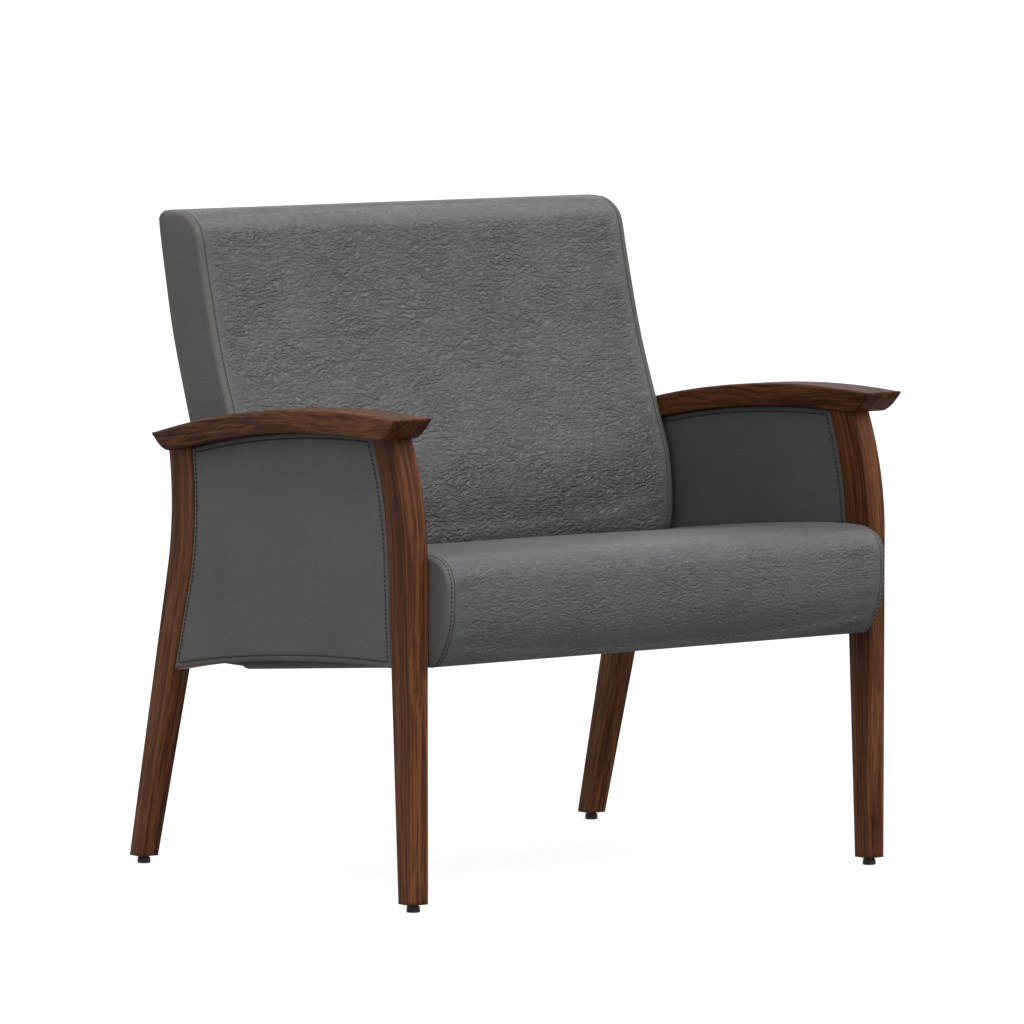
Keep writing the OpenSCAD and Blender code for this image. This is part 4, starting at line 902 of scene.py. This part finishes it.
def buildOutsideBack():
    # A thin covered board laid on the rear of the cushion, with a rounded, stitched edge
    rear = smoothLine([backPoint(s) for s in back["rearShares"]], outside["perSpan"])
    rear = rear[np.argsort(rear[:, 1])]
    half = back["half"] - outside["inset"]
    lowZ = backLowZ + outside["lowIn"]
    highZ = backPoint((0, outside["high"]))[1]
    z = lowZ + (highZ - lowZ) * edgeShares(highZ - lowZ, outside["gridUp"])
    x = -half + 2 * half * edgeShares(2 * half, outside["gridAcross"])
    gridX, gridZ = np.meshgrid(x, z, indexing="ij")
    gridY = np.repeat(np.interp(z, rear[:, 1], rear[:, 0])[None], len(x), 0)
    away = np.minimum(np.minimum(half - np.abs(gridX), gridZ - lowZ), highZ - gridZ)
    groove = outside["groove"] * np.exp(-((away - outside["stitchIn"]) / outside["grooveWide"]) ** 2)
    puff = outside["puff"] * (1 - np.exp(-away / outside["puffReach"]))
    lift = outside["rise"] - roundedEdge(away, outside["round"]) - groove + puff
    rows, columns = gridX.shape
    face = np.stack([gridX, gridY + lift, gridZ], -1).reshape(-1, 3)
    i, j = np.meshgrid(np.arange(rows - 1), np.arange(columns - 1), indexing="ij")
    a = i * columns + j
    faces = np.stack([a, a + 1, a + columns + 1, a + columns], -1).reshape(-1, 4).tolist()
    border = gridBorder(rows, columns)
    rim = face[border].copy()
    rim[:, 1] -= outside["sink"]
    start = len(face)
    for k in range(len(border)):
        n = (k + 1) % len(border)
        faces.append([border[k], border[n], start + n, start + k])
    skin = np.stack([gridX, gridZ, np.zeros_like(gridX)], -1).reshape(-1, 3)
    made = makeObject("outsideBack", np.vstack([face, rim]), faces, sideVinyl,
                      skin=np.vstack([skin, skin[border]]))
    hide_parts("outside_back_panel")
    s, n = outside["stitchIn"], outside["threadPoints"]
    zs = np.linspace(lowZ + s, highZ - s, n)
    ys = np.interp(zs, rear[:, 1], rear[:, 0]) + outside["rise"] - outside["threadSink"]
    across = np.linspace(-half + s, half - s, n)
    path = np.vstack([
        np.column_stack([np.full(n, -half + s), ys, zs]),
        np.column_stack([across, np.full(n, ys[-1]), np.full(n, zs[-1])])[1:],
        np.column_stack([np.full(n, half - s), ys[::-1], zs[::-1]])[1:],
        np.column_stack([across[::-1], np.full(n, ys[0]), np.full(n, zs[0])])[1:-1]])
    threadRow("outsideBackStitches", path, np.tile([0, 1.0, 0], (len(path), 1)), closed=True)


buildOutsideBack()
print("outside back made")


# ---- floor, light and camera

# The floor glows a little, so that it stays white where the chair's soft shadow falls
ground = {"reach": 90, "colour": (0.28, 0.28, 0.28, 1), "glow": 0.84, "roughness": 0.9, "specular": 0.1}
floorMesh = bpy.data.meshes.new("floor")
corners = [(x * ground["reach"], y * ground["reach"], 0) for x, y in ((-1, -1), (1, -1), (1, 1), (-1, 1))]
floorMesh.from_pydata(corners, [], [(0, 1, 2, 3)])
floor = bpy.data.objects.new("floor", floorMesh)
bpy.context.scene.collection.objects.link(floor)
pale = newMaterial("paleFloor", Roughness=ground["roughness"], Base_Color=ground["colour"],
                   Emission_Color=(1, 1, 1, 1), Emission_Strength=ground["glow"],
                   Specular_IOR_Level=ground["specular"])[0]
floorMesh.materials.append(pale)
floor.visible_diffuse = False
floor.visible_glossy = False

# A bright dome overhead that fades to a dim floor light, and one soft key from the front
studio = {"up": 0.98, "level": 0.58, "down": 0.29, "places": (0.35, 0.55, 0.85), "key": 1.44, "keySpread": 28,
          "keyFrom": (-0.12, -0.75, 1.0)}
world = bpy.data.worlds.new("studio")
world.use_nodes = True
sky = world.node_tree
direction = shaderNode(sky, "TexCoord").outputs["Generated"]
height = shaderNode(sky, "SeparateXYZ", {0: direction}).outputs["Z"]
share = math2(sky, "ADD", math2(sky, "MULTIPLY", height, 0.5), 0.5)
levels = [grey(studio[key]) for key in ("down", "level", "up")]
glow = ramp(sky, share, studio["places"], levels)
sky.links.new(glow, sky.nodes["Background"].inputs["Color"])
bpy.context.scene.world = world

light = bpy.data.lights.new("keySun", "SUN")
light.energy = studio["key"]
light.angle = math.radians(studio["keySpread"])
sun = bpy.data.objects.new("keySun", light)
sun.rotation_euler = Vector(studio["keyFrom"]).to_track_quat("Z", "Y").to_euler()
bpy.context.scene.collection.objects.link(sun)

lens = {"azimuth": math.radians(-37.395), "pitch": math.radians(5.047), "focal": 277.07,
        "place": (-6.43597, -8.40937, 1.41538), "sensor": 36, "far": 400}
a, e = lens["azimuth"], lens["pitch"]
backward = Vector((math.sin(a) * math.cos(e), -math.cos(a) * math.cos(e), math.sin(e)))
rightward = Vector((0, 0, 1)).cross(backward).normalized()
upward = backward.cross(rightward)
camera = bpy.data.objects.new("camera", bpy.data.cameras.new("camera"))
camera.data.lens = lens["focal"]
camera.data.sensor_width = lens["sensor"]
camera.data.clip_end = lens["far"]
turn = Matrix((rightward, upward, backward)).transposed().to_4x4()
camera.matrix_world = Matrix.Translation(lens["place"]) @ turn
bpy.context.scene.collection.objects.link(camera)
bpy.context.scene.camera = camera
bpy.context.scene.view_settings.view_transform = "Standard"
